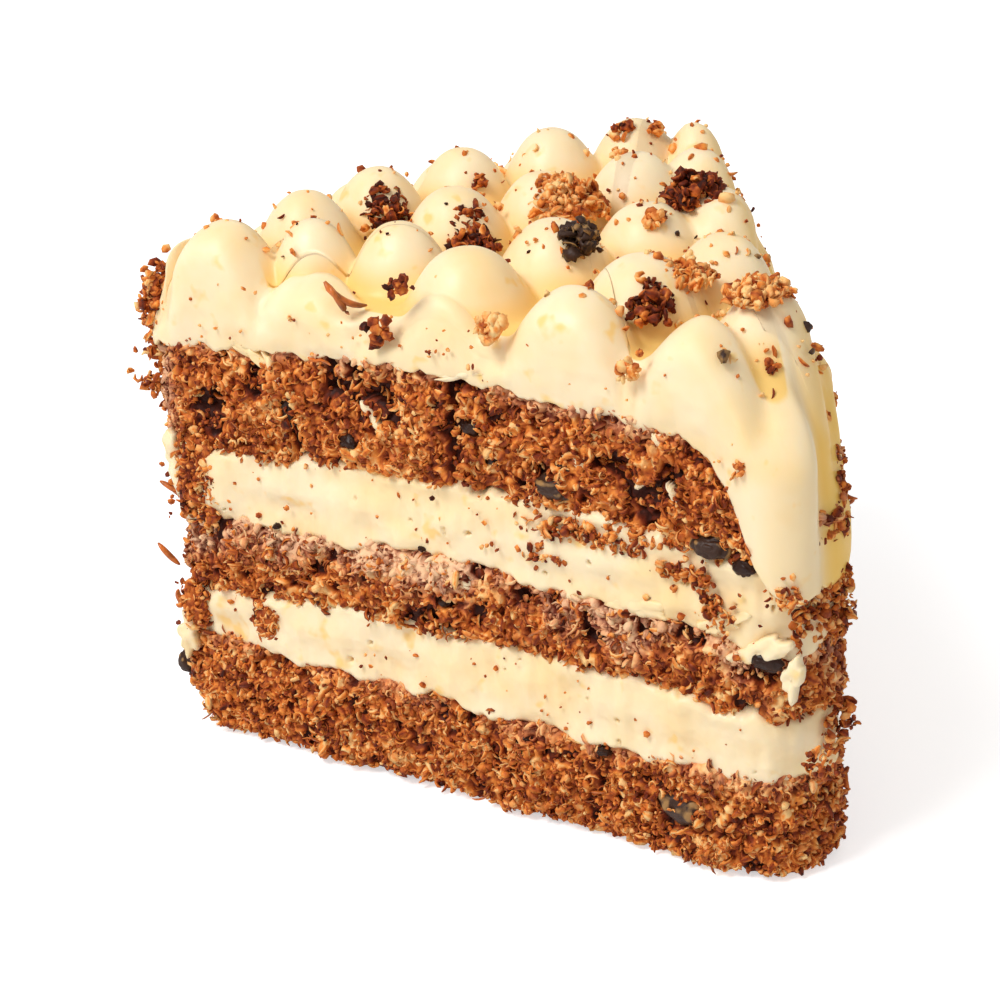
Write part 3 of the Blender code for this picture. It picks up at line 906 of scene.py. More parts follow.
def add_bits(loose, places, widths, rng, detail=1, rough=0.34, tone=None, smear=0.0):
    """Adds crumbs: a ball at each place, stretched, roughened and turned at random."""
    base, faces = ball(detail)
    count = len(places)
    swell = 1 + rng.uniform(-rough, rough, (count, len(base), 1))
    local = base[None] * swell * rng.uniform(0.4, 1.0, (count, 1, 3))
    local = np.einsum("cij,cvj->cvi", turned(count, rng), local)
    points = places[:, None, :] + local * widths[:, None, None] / 2
    # Points pushed further out get a higher relief mark, which paints them lighter: painted light on the
    # bumps.
    relief = 0.6 + 0.6 * (swell[..., 0] - 1) + rng.uniform(-0.2, 0.2, (count, 1))
    tones = rng.uniform(0, 1, count) if tone is None else tone
    loose.gather(points, faces, relief, np.reshape(tones, (-1, 1)), np.reshape(smear, (-1, 1)))


def add_curls(loose, places, widths, rng, tone=None, smear=0.0):
    """Adds curled flakes: a flat band carried along an arc, narrow at both ends.

    The arc is as long as the flake's width and turns through a random angle. The band's
    section is a diamond, wide across the arc and thin through it.
    """
    count = len(places)
    along = np.linspace(-1, 1, 5)
    half_turn = rng.uniform(0.4, 2.1, (count, 1))
    angle = half_turn * along
    radius = 0.62 / half_turn
    sine, cosine = np.sin(angle), np.cos(angle)
    path = np.stack([radius * sine, np.zeros_like(sine), radius * (1 - cosine)], axis=2)
    through = np.stack([-sine, np.zeros_like(sine), cosine], axis=2)
    taper = np.sqrt(1 - 0.86 * along**2)[None, :, None, None]
    wide = rng.uniform(0.16, 0.36, (count, 1, 1, 1)) * taper
    thin = rng.uniform(0.07, 0.15, (count, 1, 1, 1)) * taper
    section = np.array([[1, 0], [0, 1], [-1, 0], [0, -1]], float)
    across = section[None, None, :, :1] * np.array([0.0, 1.0, 0.0])
    local = path[:, :, None, :] + wide * across
    local = local + thin * section[None, None, :, 1:] * through[:, :, None, :]
    local = local.reshape(count, -1, 3)
    local = local - local.mean(axis=1, keepdims=True)
    local = np.einsum("cij,cvj->cvi", turned(count, rng), local)
    points = places[:, None, :] + local * widths[:, None, None]
    # The flake's wide edges get a higher relief mark, which paints them pale: painted highlight on the
    # edges.
    edge = np.tile(np.abs(section[:, 0]), len(along))
    relief = 0.46 + 0.30 * edge[None] + rng.uniform(-0.2, 0.26, (count, 1))
    corner = np.arange(4)
    ring = np.stack([corner, corner + 4, np.roll(corner, -1) + 4, np.roll(corner, -1)], axis=1)
    quads = (ring[None] + 4 * np.arange(len(along) - 1)[:, None, None]).reshape(-1, 4)
    last = 4 * (len(along) - 1)
    ends = np.array([[0, 1, 2, 3], [last + 3, last + 2, last + 1, last]])
    tones = rng.uniform(0, 1, count) if tone is None else tone
    faces = np.vstack([quads, ends])
    loose.gather(points, faces, relief, np.reshape(tones, (-1, 1)), np.reshape(smear, (-1, 1)))


def coat(shape, index, wall, facing, marks, counts, finish):
    """Loose crumb on a sponge wall: curled flakes, and small bits, at random points of it."""
    rng = np.random.default_rng(20 + index)
    raised = 0.55 + marks["relief"]
    chance = raised / raised.sum()
    kinds = (("flakes", add_curls, 1.1, 2.6), ("bits", add_bits, 0.6, 1.6))
    for (kind, add, low, high), count in zip(kinds, counts):
        loose = Loose()
        picks = rng.choice(len(wall), count, p=chance)
        places = wall[picks] + facing[picks] * rng.uniform(-0.2, 0.4, (count, 1))
        places[:, 2] = np.maximum(places[:, 2], 0.75)
        widths = rng.uniform(low, high, count) * rng.uniform(0.7, 1.0, count)
        smear = marks["smear"][picks] * (rng.uniform(0, 1, count) < 0.7)
        tone = 0.5 * marks["tone"][picks] + 0.5 * rng.uniform(0, 1, count)
        add(loose, places, widths, rng, tone=tone, smear=smear)
        loose.add(f"{SPONGES[index]}_{kind}", shape, finish)


def face_patch(shape, rng, loose, patch, count):
    """Crumbs spread over a round patch of the front cut."""
    along, height, half_width, half_height = patch
    turn = rng.uniform(0, 2 * math.pi, count)
    reach = np.sqrt(rng.uniform(0, 1, count)) * rng.uniform(0.75, 1.15, count)
    places = shape.on_front(
        along + half_width * reach * np.cos(turn),
        height + half_height * reach * np.sin(turn),
        rng.uniform(0.2, 1.5, count) * (1.2 - 0.5 * reach),
    )
    half = count // 2
    add_curls(loose, places[:half], rng.uniform(0.9, 2.0, half), rng)
    add_bits(loose, places[half:], rng.uniform(0.7, 1.7, count - half), rng)


# Patches of crumb dragged over the fillings: along the cut, height, half width, half height.
DRAGGED = (
    (104.3, 40.5, 3.8, 7.6, 420),
    (107.0, 20.0, 2.8, 4.2, 150),
    (94.2, 20.4, 2.6, 3.2, 120),
    (46.6, 41.5, 3.5, 1.6, 30),
    (44.0, 45.6, 7.0, 1.6, 80),
    (35.5, 45.8, 7.5, 2.0, 90),
    (25.5, 43.2, 4.5, 1.6, 50),
    (21.5, 40.0, 1.6, 3.6, 40),
    (19.0, 37.8, 1.5, 2.6, 20),
    (10.5, 43.5, 2.5, 2.5, 40),
    (5.5, 20.5, 2.6, 2.5, 40),
    (63.0, 26.0, 5.0, 1.0, 24),
)


# Broken crumb at the point: height, place across, half height, half width and how many.
POINT_HEAPS = ((38.5, 2.2, 5.0, 4.4, 330), (21.0, 4.6, 4.0, 2.2, 60))

# Crumbs on the rim: degrees, height, half width, half height and how many.
RIM_HEAPS = (
    (2.2, 65.0, 2.4, 4.6, 330),
    (1.2, 57.8, 1.2, 1.8, 40),
    (0.9, 53.0, 1.2, 1.8, 40),
    (3.0, 34.5, 1.5, 2.0, 40),
)


def dragged_crumbs(shape, finish):
    """Crumbs dragged over the fillings by the knife, and the broken crumb at the point."""
    rng = np.random.default_rng(31)
    loose = Loose()
    for *patch, count in DRAGGED:
        face_patch(shape, rng, loose, patch, count)
    for height, across, half_height, half_width, count in POINT_HEAPS:
        spread = rng.uniform(-1, 1, (2, count))
        depth = rng.uniform(0.0, 1.8, count) * (1.15 - 0.6 * np.abs(spread[0]))
        places = np.stack(
            [-shape.point + depth, across + half_width * spread[1], height + half_height * spread[0]], axis=1
        )
        half = count // 2
        add_curls(loose, places[:half], rng.uniform(1.0, 2.2, half), rng)
        add_bits(loose, places[half:], rng.uniform(0.8, 2.0, count - half), rng)
    for count, filling in ((80, 1), (110, 3)):
        along = rng.uniform(12, 108, count)
        plan = shape.on_front(along, 0.0, 0.0)[:, :2]
        share = rng.beta(0.6, 0.6, count)
        low = shape.boundary(filling - 1, plan)
        height = low + share * (shape.boundary(filling, plan) - low)
        places = shape.on_front(along, height, rng.uniform(0.3, 0.8, count))
        add_bits(loose, places, rng.uniform(0.35, 1.3, count), rng)
    for count, filling in ((420, 1), (520, 3)):
        loop = shape.outline(count)
        place = loop + outward(loop) * rng.uniform(0.2, 0.9, (count, 1))
        share = rng.beta(0.5, 0.5, count)
        low = shape.boundary(filling - 1, loop)
        height = low + share * (shape.boundary(filling, loop) - low)
        away = (shape.rim_share(loop) > 0.2) | (loop[:, 1] > 2)
        add_bits(loose, np.column_stack([place, height])[away], rng.uniform(0.4, 1.6, away.sum()), rng)
    return loose.add("dragged_crumb", shape, finish)


def rim_crumbs(shape, finish):
    """Crumbs heaped on the rim near the front cut, and standing off it."""
    rng = np.random.default_rng(37)
    loose = Loose()
    for degrees, height, half_width, half_height, count in RIM_HEAPS:
        spread = rng.normal(0, 0.5, (3, count))
        radius = shape.rim - 1.4 + np.abs(spread[0]) * 3.4
        plan = shape.polar(radius, degrees + np.degrees(spread[1] * half_width / shape.rim))
        places = np.column_stack([plan, height + half_height * spread[2]])
        half = count // 2
        add_curls(loose, places[:half], rng.uniform(1.0, 2.2, half), rng)
        add_bits(loose, places[half:], rng.uniform(0.9, 2.2, count - half), rng)
    return loose.add("rim_crumb_heaps", shape, finish)


# ------------------------------------------------------------------ toppings

# The larger crumb clumps as (distance from the axis, degrees from the front cut, width,
# height, finish).
CLUMPS = (
    (76, 31, 13.5, 5.0, "orange"),
    (93, 17.5, 8.6, 4.6, "dark"),
    (64, 42, 11.0, 4.6, "dark"),
    (57.5, 22.5, 7.0, 4.0, "nut"),
    (36.5, 16, 7.8, 3.8, "dark"),
    (76.5, 19, 9.0, 2.8, "dark"),
    (39.5, 28.5, 9.0, 2.6, "orange"),
    (23.5, 30, 10.5, 2.4, "orange"),
)


def mound(centre, width, height, count, rng):
    """Places in half an ellipsoid that stands on a centre, crowded toward its top."""
    direction = rng.normal(size=(count, 3))
    direction = direction / np.linalg.norm(direction, axis=1, keepdims=True)
    direction[:, 2] = np.abs(direction[:, 2])
    reach = rng.uniform(0.05, 1, count) ** 0.5
    return centre + direction * reach[:, None] * [width / 2, width / 2, height]


def clump_piece(shape, index, finishes):
    """One clump of crumbs, standing on the cream in place of its solid."""
    distance, degrees, width, height, kind = CLUMPS[index]
    rng = np.random.default_rng(50 + index)
    plan = shape.polar(distance, degrees)
    centre = np.array([*plan, shape.cream_top(plan[None, :])[0] - 0.6])
    loose = Loose()
    count = int(34 * (width / 5) ** 2.2)
    places = mound(centre, width * 0.85, height, count, rng)
    ground = shape.cream_top(places[:, :2]) - 0.3
    places[:, 2] = np.maximum(places[:, 2], ground)
    dark = {"orange": 0.62, "dark": 0.12, "nut": 0.3}[kind]
    tone = np.clip(dark + rng.normal(0, 0.25, count), 0, 1)
    half = count // 2
    add_curls(loose, places[:half], rng.uniform(1.2, 2.6, half), rng, tone=tone[:half])
    size = rng.uniform(0.8, 2.2, count - half) * (1.5 if kind == "nut" else 1)
    add_bits(loose, places[half:], size, rng, detail=2, tone=tone[half:])
    made = loose.add(f"crumb_clump_{index + 1}_heap", shape, finishes[kind])
    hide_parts(f"crumb_clump_{index + 1}")


# Single bits on the cream: distance, degrees, width, finish.
BITS = (
    (103, 31.5, 5.0, "orange"),
    (93.5, 27.4, 3.0, "dark"),
    (96, 42, 3.2, "dark"),
    (95, 44.7, 3.6, "orange"),
    (58.4, 34.7, 4.0, "orange"),
    (102.5, 3.5, 2.6, "orange"),
    (93.3, 7.0, 3.0, "orange"),
    (88.0, 27.0, 2.2, "dark"),
    (49.0, 47.0, 3.0, "dark"),
    (33.0, 38.0, 3.0, "dark"),
    (28.0, 44.0, 2.6, "dark"),
    (84.0, 39.0, 3.0, "orange"),
    (17.0, 22.0, 2.4, "dark"),
)

# Bits pressed on the cream's front face: along the cut, height, width, finish.
FACE_BITS = (
    (69.8, 69.4, 3.6, "dark"),
    (52.2, 72.7, 4.4, "golden"),
    (31.0, 71.0, 3.6, "golden"),
    (66.3, 76.4, 3.4, "dark"),
    (84.1, 68.4, 1.6, "orange"),
    (16.0, 60.5, 2.6, "orange"),
    (62.0, 67.4, 1.2, "dark"),
)


def resting_heights(shape, plan):
    """Height of the finished cream under each place, or minus infinity where there is none.

    The highest point of the cream in each square cell of the plan, REST_CELL wide.
    """
    mesh = bpy.data.objects["cream_top_piped"].data
    points = np.empty(len(mesh.vertices) * 3, np.float32)
    mesh.vertices.foreach_get("co", points)
    points = points.reshape(-1, 3) / MM - [shape.axis_x, 0, 0]
    corner = points[:, :2].min(axis=0)
    cells = ((points[:, :2] - corner) / REST_CELL).astype(int)
    heights = np.full(cells.max(axis=0) + 1, -np.inf)
    np.maximum.at(heights, tuple(cells.T), points[:, 2])
    wanted = np.floor((plan - corner) / REST_CELL).astype(int)
    within = ((wanted >= 0) & (wanted < heights.shape)).all(axis=1)
    wanted = np.clip(wanted, 0, np.array(heights.shape) - 1)
    return np.where(within, heights[tuple(wanted.T)], -np.inf)


def cream_specks(shape, finishes):
    """Every smaller crumb on the cream: single bits, bits on its face, and fine specks."""
    rng = np.random.default_rng(61)
    by_finish = {kind: Loose() for kind in finishes}
    for distance, degrees, width, kind in BITS:
        plan = shape.polar(distance, degrees)
        ground = shape.cream_top(plan[None, :])[0]
        ground = max(LOWEST_REST, min(ground, resting_heights(shape, plan[None, :])[0]))
        count = int(6 + width**2)
        places = mound(np.array([*plan, ground]), width * 0.8, width * 0.5, count, rng)
        add_bits(by_finish[kind], places, rng.uniform(0.3, 0.62, count) * width, rng, detail=2)
    for along, height, width, kind in FACE_BITS:
        count = int(5 + width**2)
        spread = rng.normal(0, 0.25 * width, (2, count))
        places = shape.on_front(along + spread[0], height + spread[1], 1.4 + rng.uniform(0, 0.9, count))
        add_bits(by_finish[kind], places, rng.uniform(0.3, 0.6, count) * width, rng, detail=2)
    around = [(distance, degrees) for distance, degrees, *_ in CLUMPS + BITS]
    picks = rng.integers(0, len(around), 330)
    distance, degrees = np.array(around)[picks].T
    distance = distance + rng.normal(0, 6.0, len(picks))
    degrees = degrees + np.degrees(rng.normal(0, 6.0, len(picks)) / np.maximum(distance, 20))
    distance = np.concatenate([distance, rng.uniform(14, 111, 110)])
    degrees = np.concatenate([degrees, rng.uniform(0.5, 50.9, 110)])
    edge = rng.uniform(15, 108, 120)
    distance = np.concatenate([distance, edge])
    degrees = np.concatenate([degrees, 51.4 - np.degrees(np.abs(rng.normal(0, 2.6, 120)) / edge)])
    plan = shape.polar(distance, degrees)
    inside = (distance > 13) & (distance < 110.5) & (degrees > 1.0) & (degrees < 51)
    plan = plan[inside]
    ground = resting_heights(shape, plan)
    plan, ground = plan[ground > LOWEST_REST], ground[ground > LOWEST_REST]
    places = np.column_stack([plan, ground - 0.05])
    widths = 0.45 + rng.gamma(1.4, 0.42, len(places))
    kind = rng.choice(4, len(places), p=(0.46, 0.30, 0.20, 0.04))
    for number, name in enumerate(("orange", "golden", "dark", "nut")):
        chosen = kind == number
        half = np.arange(chosen.sum()) % 3 == 0
        add_curls(by_finish[name], places[chosen][half], 1.5 * widths[chosen][half], rng)
        add_bits(by_finish[name], places[chosen][~half], widths[chosen][~half], rng)
    along = rng.uniform(12, 109, 46)
    plan = shape.on_front(along, 0.0, 0.0)[:, :2]
    low = shape.boundary(4, plan)
    height = low + rng.beta(0.8, 1.0, 46) * 9.0
    places = shape.on_front(along, height, 1.55)
    add_bits(by_finish["orange"], places, rng.uniform(0.4, 1.0, 46), rng)
    for kind, loose in by_finish.items():
        if loose.points:
            loose.add(f"{kind}_specks", shape, finishes[kind])


# ------------------------------------------------------------------ nuts, raisins and carrot


def lump_piece(name, shape, place, size, facing, finish, seed, slot="walnut"):
    """A wrinkled lump: a fine ball stretched to a size, with folds where noise passes a half."""
    points, faces = ball(5)
    fold = 1 - np.abs(2 * noise(points * 2.0 + seed, 1.0, seed) - 1)
    swell = 1 + 0.28 * (noise(points + seed, 0.8, seed + 1) - 0.5) - 0.22 * (fold - 0.5)
    local = points * swell[:, None] * np.array(size) / 2
    cosine, sine = math.cos(facing), math.sin(facing)
    axes = np.array([[cosine, sine, 0], [-sine, cosine, 0], [0, 0, 1]])
    placed = place + local @ axes
    marks = {"relief": np.clip(0.9 - fold * 0.8 + 0.3 * points[:, 1], 0, 1)}
    return add_piece(name, shape, placed, [], faces, finish, marks, slot)


# Walnut pieces in the front cut: along the cut, height, half width, half height.
WALNUTS = ((26.5, 8.0, 3.6, 2.6), (44.5, 51.0, 2.9, 1.9), (21.5, 47.5, 2.6, 1.7))

# Dark raisins and nut crumbs in the front cut: along the cut, height, width, height.
DARK_BITS = (
    (87.2, 54.3, 3.4, 5.4),
    (13.6, 33.0, 4.6, 3.0),
    (77.2, 51.4, 3.0, 2.4),
    (57.0, 57.3, 3.6, 2.4),
    (53.7, 53.4, 2.8, 2.0),
    (16.5, 45.6, 3.4, 2.6),
    (42.9, 54.4, 3.2, 2.0),
    (51.4, 12.0, 2.8, 1.8),
    (38.6, 13.6, 2.2, 1.5),
    (63.0, 30.5, 2.2, 1.6),
    (66.2, 37.8, 1.3, 0.9),
    (91.0, 35.9, 1.4, 1.0),
)


def nut_pieces(shape, nut, raisin):
    """Walnut pieces in place of their solids, raisins in the cut, and one nut at the rim."""
    across = shape.angle / 2
    for number, (along, height, half_width, half_height) in enumerate(WALNUTS, 1):
        place = shape.on_front(along, height, 0.0)
        size = (2 * half_width, 3.8, 2 * half_height)
        made = lump_piece(f"walnut_piece_{number}_nut", shape, place, size, across, nut, 80 + number)
        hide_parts(f"walnut_piece_{number}")
    for number, (along, height, width, tall) in enumerate(DARK_BITS, 1):
        place = shape.on_front(along, height, 0.1)
        size = (width, 2.4, tall)
        lump_piece(f"dark_bit_{number}", shape, place, size, across, raisin, 90 + number)
    rim_place = np.array([*shape.polar(shape.rim - 0.4, 1.2), 8.3])
    lump_piece("rim_walnut", shape, rim_place, (3.2, 3.4, 4.0), across, nut, 120)


def shred_paths(starts, directions, lengths, rng):
    """Bent paths: each turns steadily about a random axis as it goes, over eight points."""
    count = len(starts)
    bend = rng.normal(0, 1, (count, 3))
    side = np.cross(directions, bend)
    side = side / np.linalg.norm(side, axis=1, keepdims=True)
    curve = rng.uniform(0.3, 2.2, (count, 1, 1))
    along = np.linspace(0, 1, 8)[None, :, None]
    forward = directions[:, None, :] * np.sin(curve * along) / curve
    sideways = side[:, None, :] * (1 - np.cos(curve * along)) / curve
    return starts[:, None, :] + (forward + sideways) * lengths[:, None, None]


def shred_piece(name, shape, paths, widths, finish):
    """Shreds: a six-sided tube along each path, thinner at both ends, closed at both."""
    count, rings = paths.shape[:2]
    along = np.gradient(paths, axis=1)
    along = along / np.linalg.norm(along, axis=2, keepdims=True)
    guide = np.where(np.abs(along[..., 2:]) < 0.8, [0.0, 0.0, 1.0], [1.0, 0.0, 0.0])
    first = np.cross(along, guide)
    first = first / np.linalg.norm(first, axis=2, keepdims=True)
    second = np.cross(along, first)
    turn = np.linspace(0, 2 * math.pi, 6, endpoint=False)
    taper = np.sqrt(1 - 0.9 * np.linspace(-1, 1, rings) ** 2)[None, :, None, None]
    ring = first[:, :, None] * np.cos(turn)[:, None] + 0.7 * second[:, :, None] * np.sin(turn)[:, None]
    points = paths[:, :, None] + ring * taper * widths[:, None, None, None] / 2
    corner = np.arange(6)
    after = np.roll(corner, -1)
    side = np.stack([corner, after, after + 6, corner + 6], axis=1)
    quads = (side[None] + 6 * np.arange(rings - 1)[:, None, None]).reshape(-1, 4)
    last = 6 * (rings - 1)
    ends = np.array([[0, 3, 2, 1], [0, 5, 4, 3], [0, 1, 2, 3], [0, 3, 4, 5]])
    ends[2:] += last
    faces = np.vstack([quads, ends])
    joined = (faces[None] + (np.arange(count) * rings * 6)[:, None, None]).reshape(-1, 4)
    return add_piece(name, shape, points.reshape(-1, 3), joined, [], finish, None, "crumb")


def carrot_shreds(shape, walls, finish):
    """Carrot shreds: many lying in the sponge's walls, a few on the cream and off the rim."""
    rng = np.random.default_rng(71)
    starts, directions = [], []
    for wall, facing in walls:
        picks = rng.choice(len(wall), 45)
        starts.append(wall[picks] + facing[picks] * 0.2)
        lean = rng.normal(0, 1, (45, 3))
        lean = lean - facing[picks] * (np.sum(lean * facing[picks], axis=1, keepdims=True) - 0.25)
        directions.append(lean)
    starts = np.vstack(starts)
    starts[:, 2] = np.maximum(starts[:, 2], 1.5)
    directions = np.vstack(directions)
    directions = directions / np.linalg.norm(directions, axis=1, keepdims=True)
    paths = shred_paths(starts, directions, rng.uniform(1.8, 4.2, len(starts)), rng)
    paths[..., 2] = np.maximum(paths[..., 2], 0.7)
    shred_piece("carrot_in_crumb", shape, paths, rng.uniform(0.4, 0.8, len(starts)), finish)
    on_cream = shape.on_front(np.array([78.0, 77.0]), np.array([75.0, 74.4]), np.array([2.0, 2.2]))
    down = shape.on_front(np.array([74.6, 74.2]), np.array([69.4, 70.4]), np.array([1.8, 2.2])) - on_cream
    length = np.linalg.norm(down, axis=1)
    cream_paths = shred_paths(on_cream, down / length[:, None], length * 1.1, rng)
    shred_piece("carrot_on_cream", shape, cream_paths, np.array([1.4, 0.9]), finish)
    heights = np.array([24.5, 17.5, 35.5])
    rim_plan = shape.polar(np.full(3, shape.rim - 1.0), np.array([0.9, 1.2, 1.5]))
    off = np.column_stack([shape.polar(np.full(3, 1.0), 1.0), [0.5, 0.3, 0.6]])
    off = off / np.linalg.norm(off, axis=1, keepdims=True)
    rim_paths = shred_paths(np.column_stack([rim_plan, heights]), off, np.array([4.6, 3.4, 3.2]), rng)
    shred_piece("carrot_off_rim", shape, rim_paths, np.array([1.2, 1.0, 1.1]), finish)


# ------------------------------------------------------------------ cream smears

# Cream drawn over the cut: along the cut, height, half length, half width, tilt in degrees.
SMEARS = (
    (93.6, 61.8, 3.4, 0.9, 28),
    (89.4, 59.6, 3.2, 0.9, 55),
    (72.7, 55.4, 3.2, 0.8, 50),
    (58.0, 64.6, 4.2, 0.7, -14),
    (37.0, 65.0, 2.6, 0.6, 6),
    (28.4, 61.0, 1.3, 0.8, 60),
    (40.5, 55.6, 2.4, 0.9, 20),
    (26.5, 54.0, 1.6, 0.6, 60),
    (31.5, 54.2, 1.2, 0.6, -60),
    (14.5, 34.0, 5.6, 1.8, -28),
    (9.9, 31.4, 1.5, 3.4, 14),
    (20.5, 36.8, 4.6, 1.6, -24),
    (32.0, 36.4, 5.5, 1.3, -8),
    (62.0, 34.4, 6.0, 1.2, 6),
    (109.3, 15.0, 1.6, 4.2, 8),
    (108.4, 42.0, 2.0, 5.6, -6),
)


# Beds of crumb under the dragged crumb: along the cut, height, half length, half width, tilt.
CRUMB_BEDS = (
    (104.6, 40.5, 3.4, 7.6, 4),
    (107.5, 20.0, 2.4, 4.2, 0),
    (94.2, 20.4, 1.9, 3.6, -24),
)


def lens_patches(name, shape, patches, thickness, finish, slot, seed):
    """Thin patches on the front cut, each a lens with a wandering outline.

    A point is a share of the way out to an outline whose reach is noise of the angle. It
    stands off the cut by the thickness times the square root of one less the share
    squared, and its back lies inside.
    """
    around, across = 56, 13
    turn = np.linspace(0, 2 * math.pi, around, endpoint=False)
    shares = np.linspace(1, 0, across)[:-1]
    rings, quads, triangles, relief = [], [], [], []
    for number, (along, height, half_length, half_width, tilt) in enumerate(patches):
        wheel = space(np.stack([np.cos(turn), np.sin(turn)], axis=1) * 1.4)
        reach = 0.75 + 0.7 * (noise(wheel, 0.6, seed + number) - 0.3)
        reach = reach + 0.16 * (noise(wheel, 0.3, seed + 30 + number) - 0.5)
        start = number * (2 * (across - 1) * around + 2)
        lean = math.radians(tilt)
        layers = []
        for side, order in ((-1, shares[::-1]), (1, shares)):
            for share in order:
                first = half_length * share * reach * np.cos(turn)
                second = half_width * share * reach * np.sin(turn)
                move = first * math.cos(lean) - second * math.sin(lean)
                rise = first * math.sin(lean) + second * math.cos(lean)
                lift = thickness * math.sqrt(1 - share**2) if side > 0 else -1.2
                spot = shape.on_front(along + move, height + rise, 0.0)
                rough = 0.9 * (noise(spot, 1.3, seed + 60 + number) - 0.5)
                layers.append(shape.on_front(along + move, height + rise, 0.4 + lift + rough))
                # Raised points get a higher relief mark, which the crumb finish paints lighter: painted
                # light on raised crumb.
                relief.append(0.45 + 0.5 * rough)
        back = shape.on_front(along, height, -0.8)
        front = shape.on_front(along, height, 0.4 + thickness)
        relief.append(np.array([0.4, 0.4]))
        rings.append(np.vstack([*layers, back, front]))
        total = 2 * (across - 1)
        quads.append(start + grid_faces(total, around)[:, ::-1])
        end = start + total * around
        triangles.append(fan_faces(end, start, around, True))
        triangles.append(fan_faces(end + 1, start + (total - 1) * around, around, False))
    relief = np.concatenate(relief)
    marks = {"painted_shade": 0 * relief, "relief": relief, "tone": 0 * relief + 0.5, "smear": 0 * relief}
    parts = [np.vstack(part) for part in (rings, quads, triangles)]
    return add_piece(name, shape, *parts, finish, marks, slot)


def main():
    register()
    bpy.ops.cake.sponge()
    bpy.ops.cake.fillings()
    bpy.ops.cake.cream_top()
    bpy.ops.cake.toppings()
    bpy.ops.cake.nuts()
    bpy.ops.cake.stage()


# ------------------------------------------------------------------ operators


# Each sponge layer: its index, how open its crumb is, and its numbers of flakes and bits.
SPONGE_COATS = ((0, 0.8, (5400, 6000)), (2, 0.95, (3800, 4000)), (4, 1.1, (5400, 6500)))


class CakeOperator:
    bl_options = {"REGISTER", "UNDO"}

    def parts(self, context):
        sizes = context.scene.cake_sizes
        return Slice(sizes), sizes, context.scene.cake_colours


class CAKE_OT_sponge(CakeOperator, bpy.types.Operator):
    """Makes the three sponge layers with their open crumb, and the carrot in them"""

    bl_idname = "cake.sponge"
    bl_label = "Sponge layers"

    def execute(self, context):
        shape, sizes, colours = self.parts(context)
        finish = crumb_finish(colours)
        walls = []
        for index, openness, counts in SPONGE_COATS:
            wall, facing, marks = sponge_layer(shape, sizes, index, openness, finish)
            coat(shape, index, wall, facing, marks, counts, finish)
            walls.append((wall, facing))
        carrot_shreds(shape, walls, carrot_finish(colours))
        return {"FINISHED"}


class CAKE_OT_fillings(CakeOperator, bpy.types.Operator):
    """Makes the two cream fillings, smears of cream and the crumbs dragged over them"""

    bl_idname = "cake.fillings"
    bl_label = "Fillings"

    def execute(self, context):
        shape, _, colours = self.parts(context)
        finish = cream_finish(colours)
        for index in (1, 3):
            filling_layer(shape, index, finish)
        crumb = crumb_finish(colours)
        lens_patches("cream_smears", shape, SMEARS, 0.5, finish, "cream", 200)
        lens_patches("crumb_beds", shape, CRUMB_BEDS, 0.9, crumb, "crumb", 300)
        dragged_crumbs(shape, crumb)
        rim_crumbs(shape, crumb)
        return {"FINISHED"}


class CAKE_OT_cream_top(CakeOperator, bpy.types.Operator):
    """Makes the piped cream top and the tongue over the point"""

    bl_idname = "cake.cream_top"
    bl_label = "Piped top"

    def execute(self, context):
        shape, sizes, colours = self.parts(context)
        cream_piece(shape, sizes, cream_finish(colours))
        return {"FINISHED"}


class CAKE_OT_toppings(CakeOperator, bpy.types.Operator):
    """Makes the crumb clumps, bits and specks on the cream"""

    bl_idname = "cake.toppings"
    bl_label = "Toppings"

    def execute(self, context):
        shape, _, colours = self.parts(context)
        finishes = {
            "orange": crumb_finish(colours, "orange crumb", -0.35),
            "golden": crumb_finish(colours, "golden crumb", -0.75),
            "dark": crumb_finish(colours, "dark crumb", 0.35),
            "nut": nut_finish(colours, "toasted nut", 0.75),
        }
        for index in range(len(CLUMPS)):
            clump_piece(shape, index, finishes)
        cream_specks(shape, finishes)
        return {"FINISHED"}


class CAKE_OT_nuts(CakeOperator, bpy.types.Operator):
    """Makes the walnut pieces and raisins that the cut shows"""

    bl_idname = "cake.nuts"
    bl_label = "Nuts and raisins"

    def execute(self, context):
        shape, _, colours = self.parts(context)
        nut_pieces(shape, nut_finish(colours), raisin_finish(colours))
        return {"FINISHED"}


class CAKE_OT_stage(CakeOperator, bpy.types.Operator):
    """Makes the pale floor, the soft light and the camera"""

    bl_idname = "cake.stage"
    bl_label = "Stage"

    def execute(self, context):
        shape = self.parts(context)[0]
        scene = context.scene
        make_floor()
        make_light(scene)
        make_camera(scene, shape)
        scene.view_settings.view_transform = "Standard"
        return {"FINISHED"}


# ------------------------------------------------------------------ stage

VIEW_AZIMUTH = math.radians(59.94)
VIEW_ELEVATION = math.radians(24.41)
VIEW_ROLL = math.radians(-3.23)
VIEW_DISTANCE = 420.5
VIEW_TARGET = (-66.83, -12.24, 37.61)
VIEW_LENS = 108.0


# Light: the world's strength, the floor's glow to the camera, and the key lamp in metres
# and watts.
WORLD_LIGHT = 0.55
FLOOR_GLOW = 0.55
FLOOR_HALF = 3.0
FLOOR_HEIGHT = -0.0004
KEY_PLACE = (0.05, -0.56, 0.80)
KEY_TARGET = (0, 0, 0.04)
KEY_SIZE = 0.4
KEY_POWER = 6.3


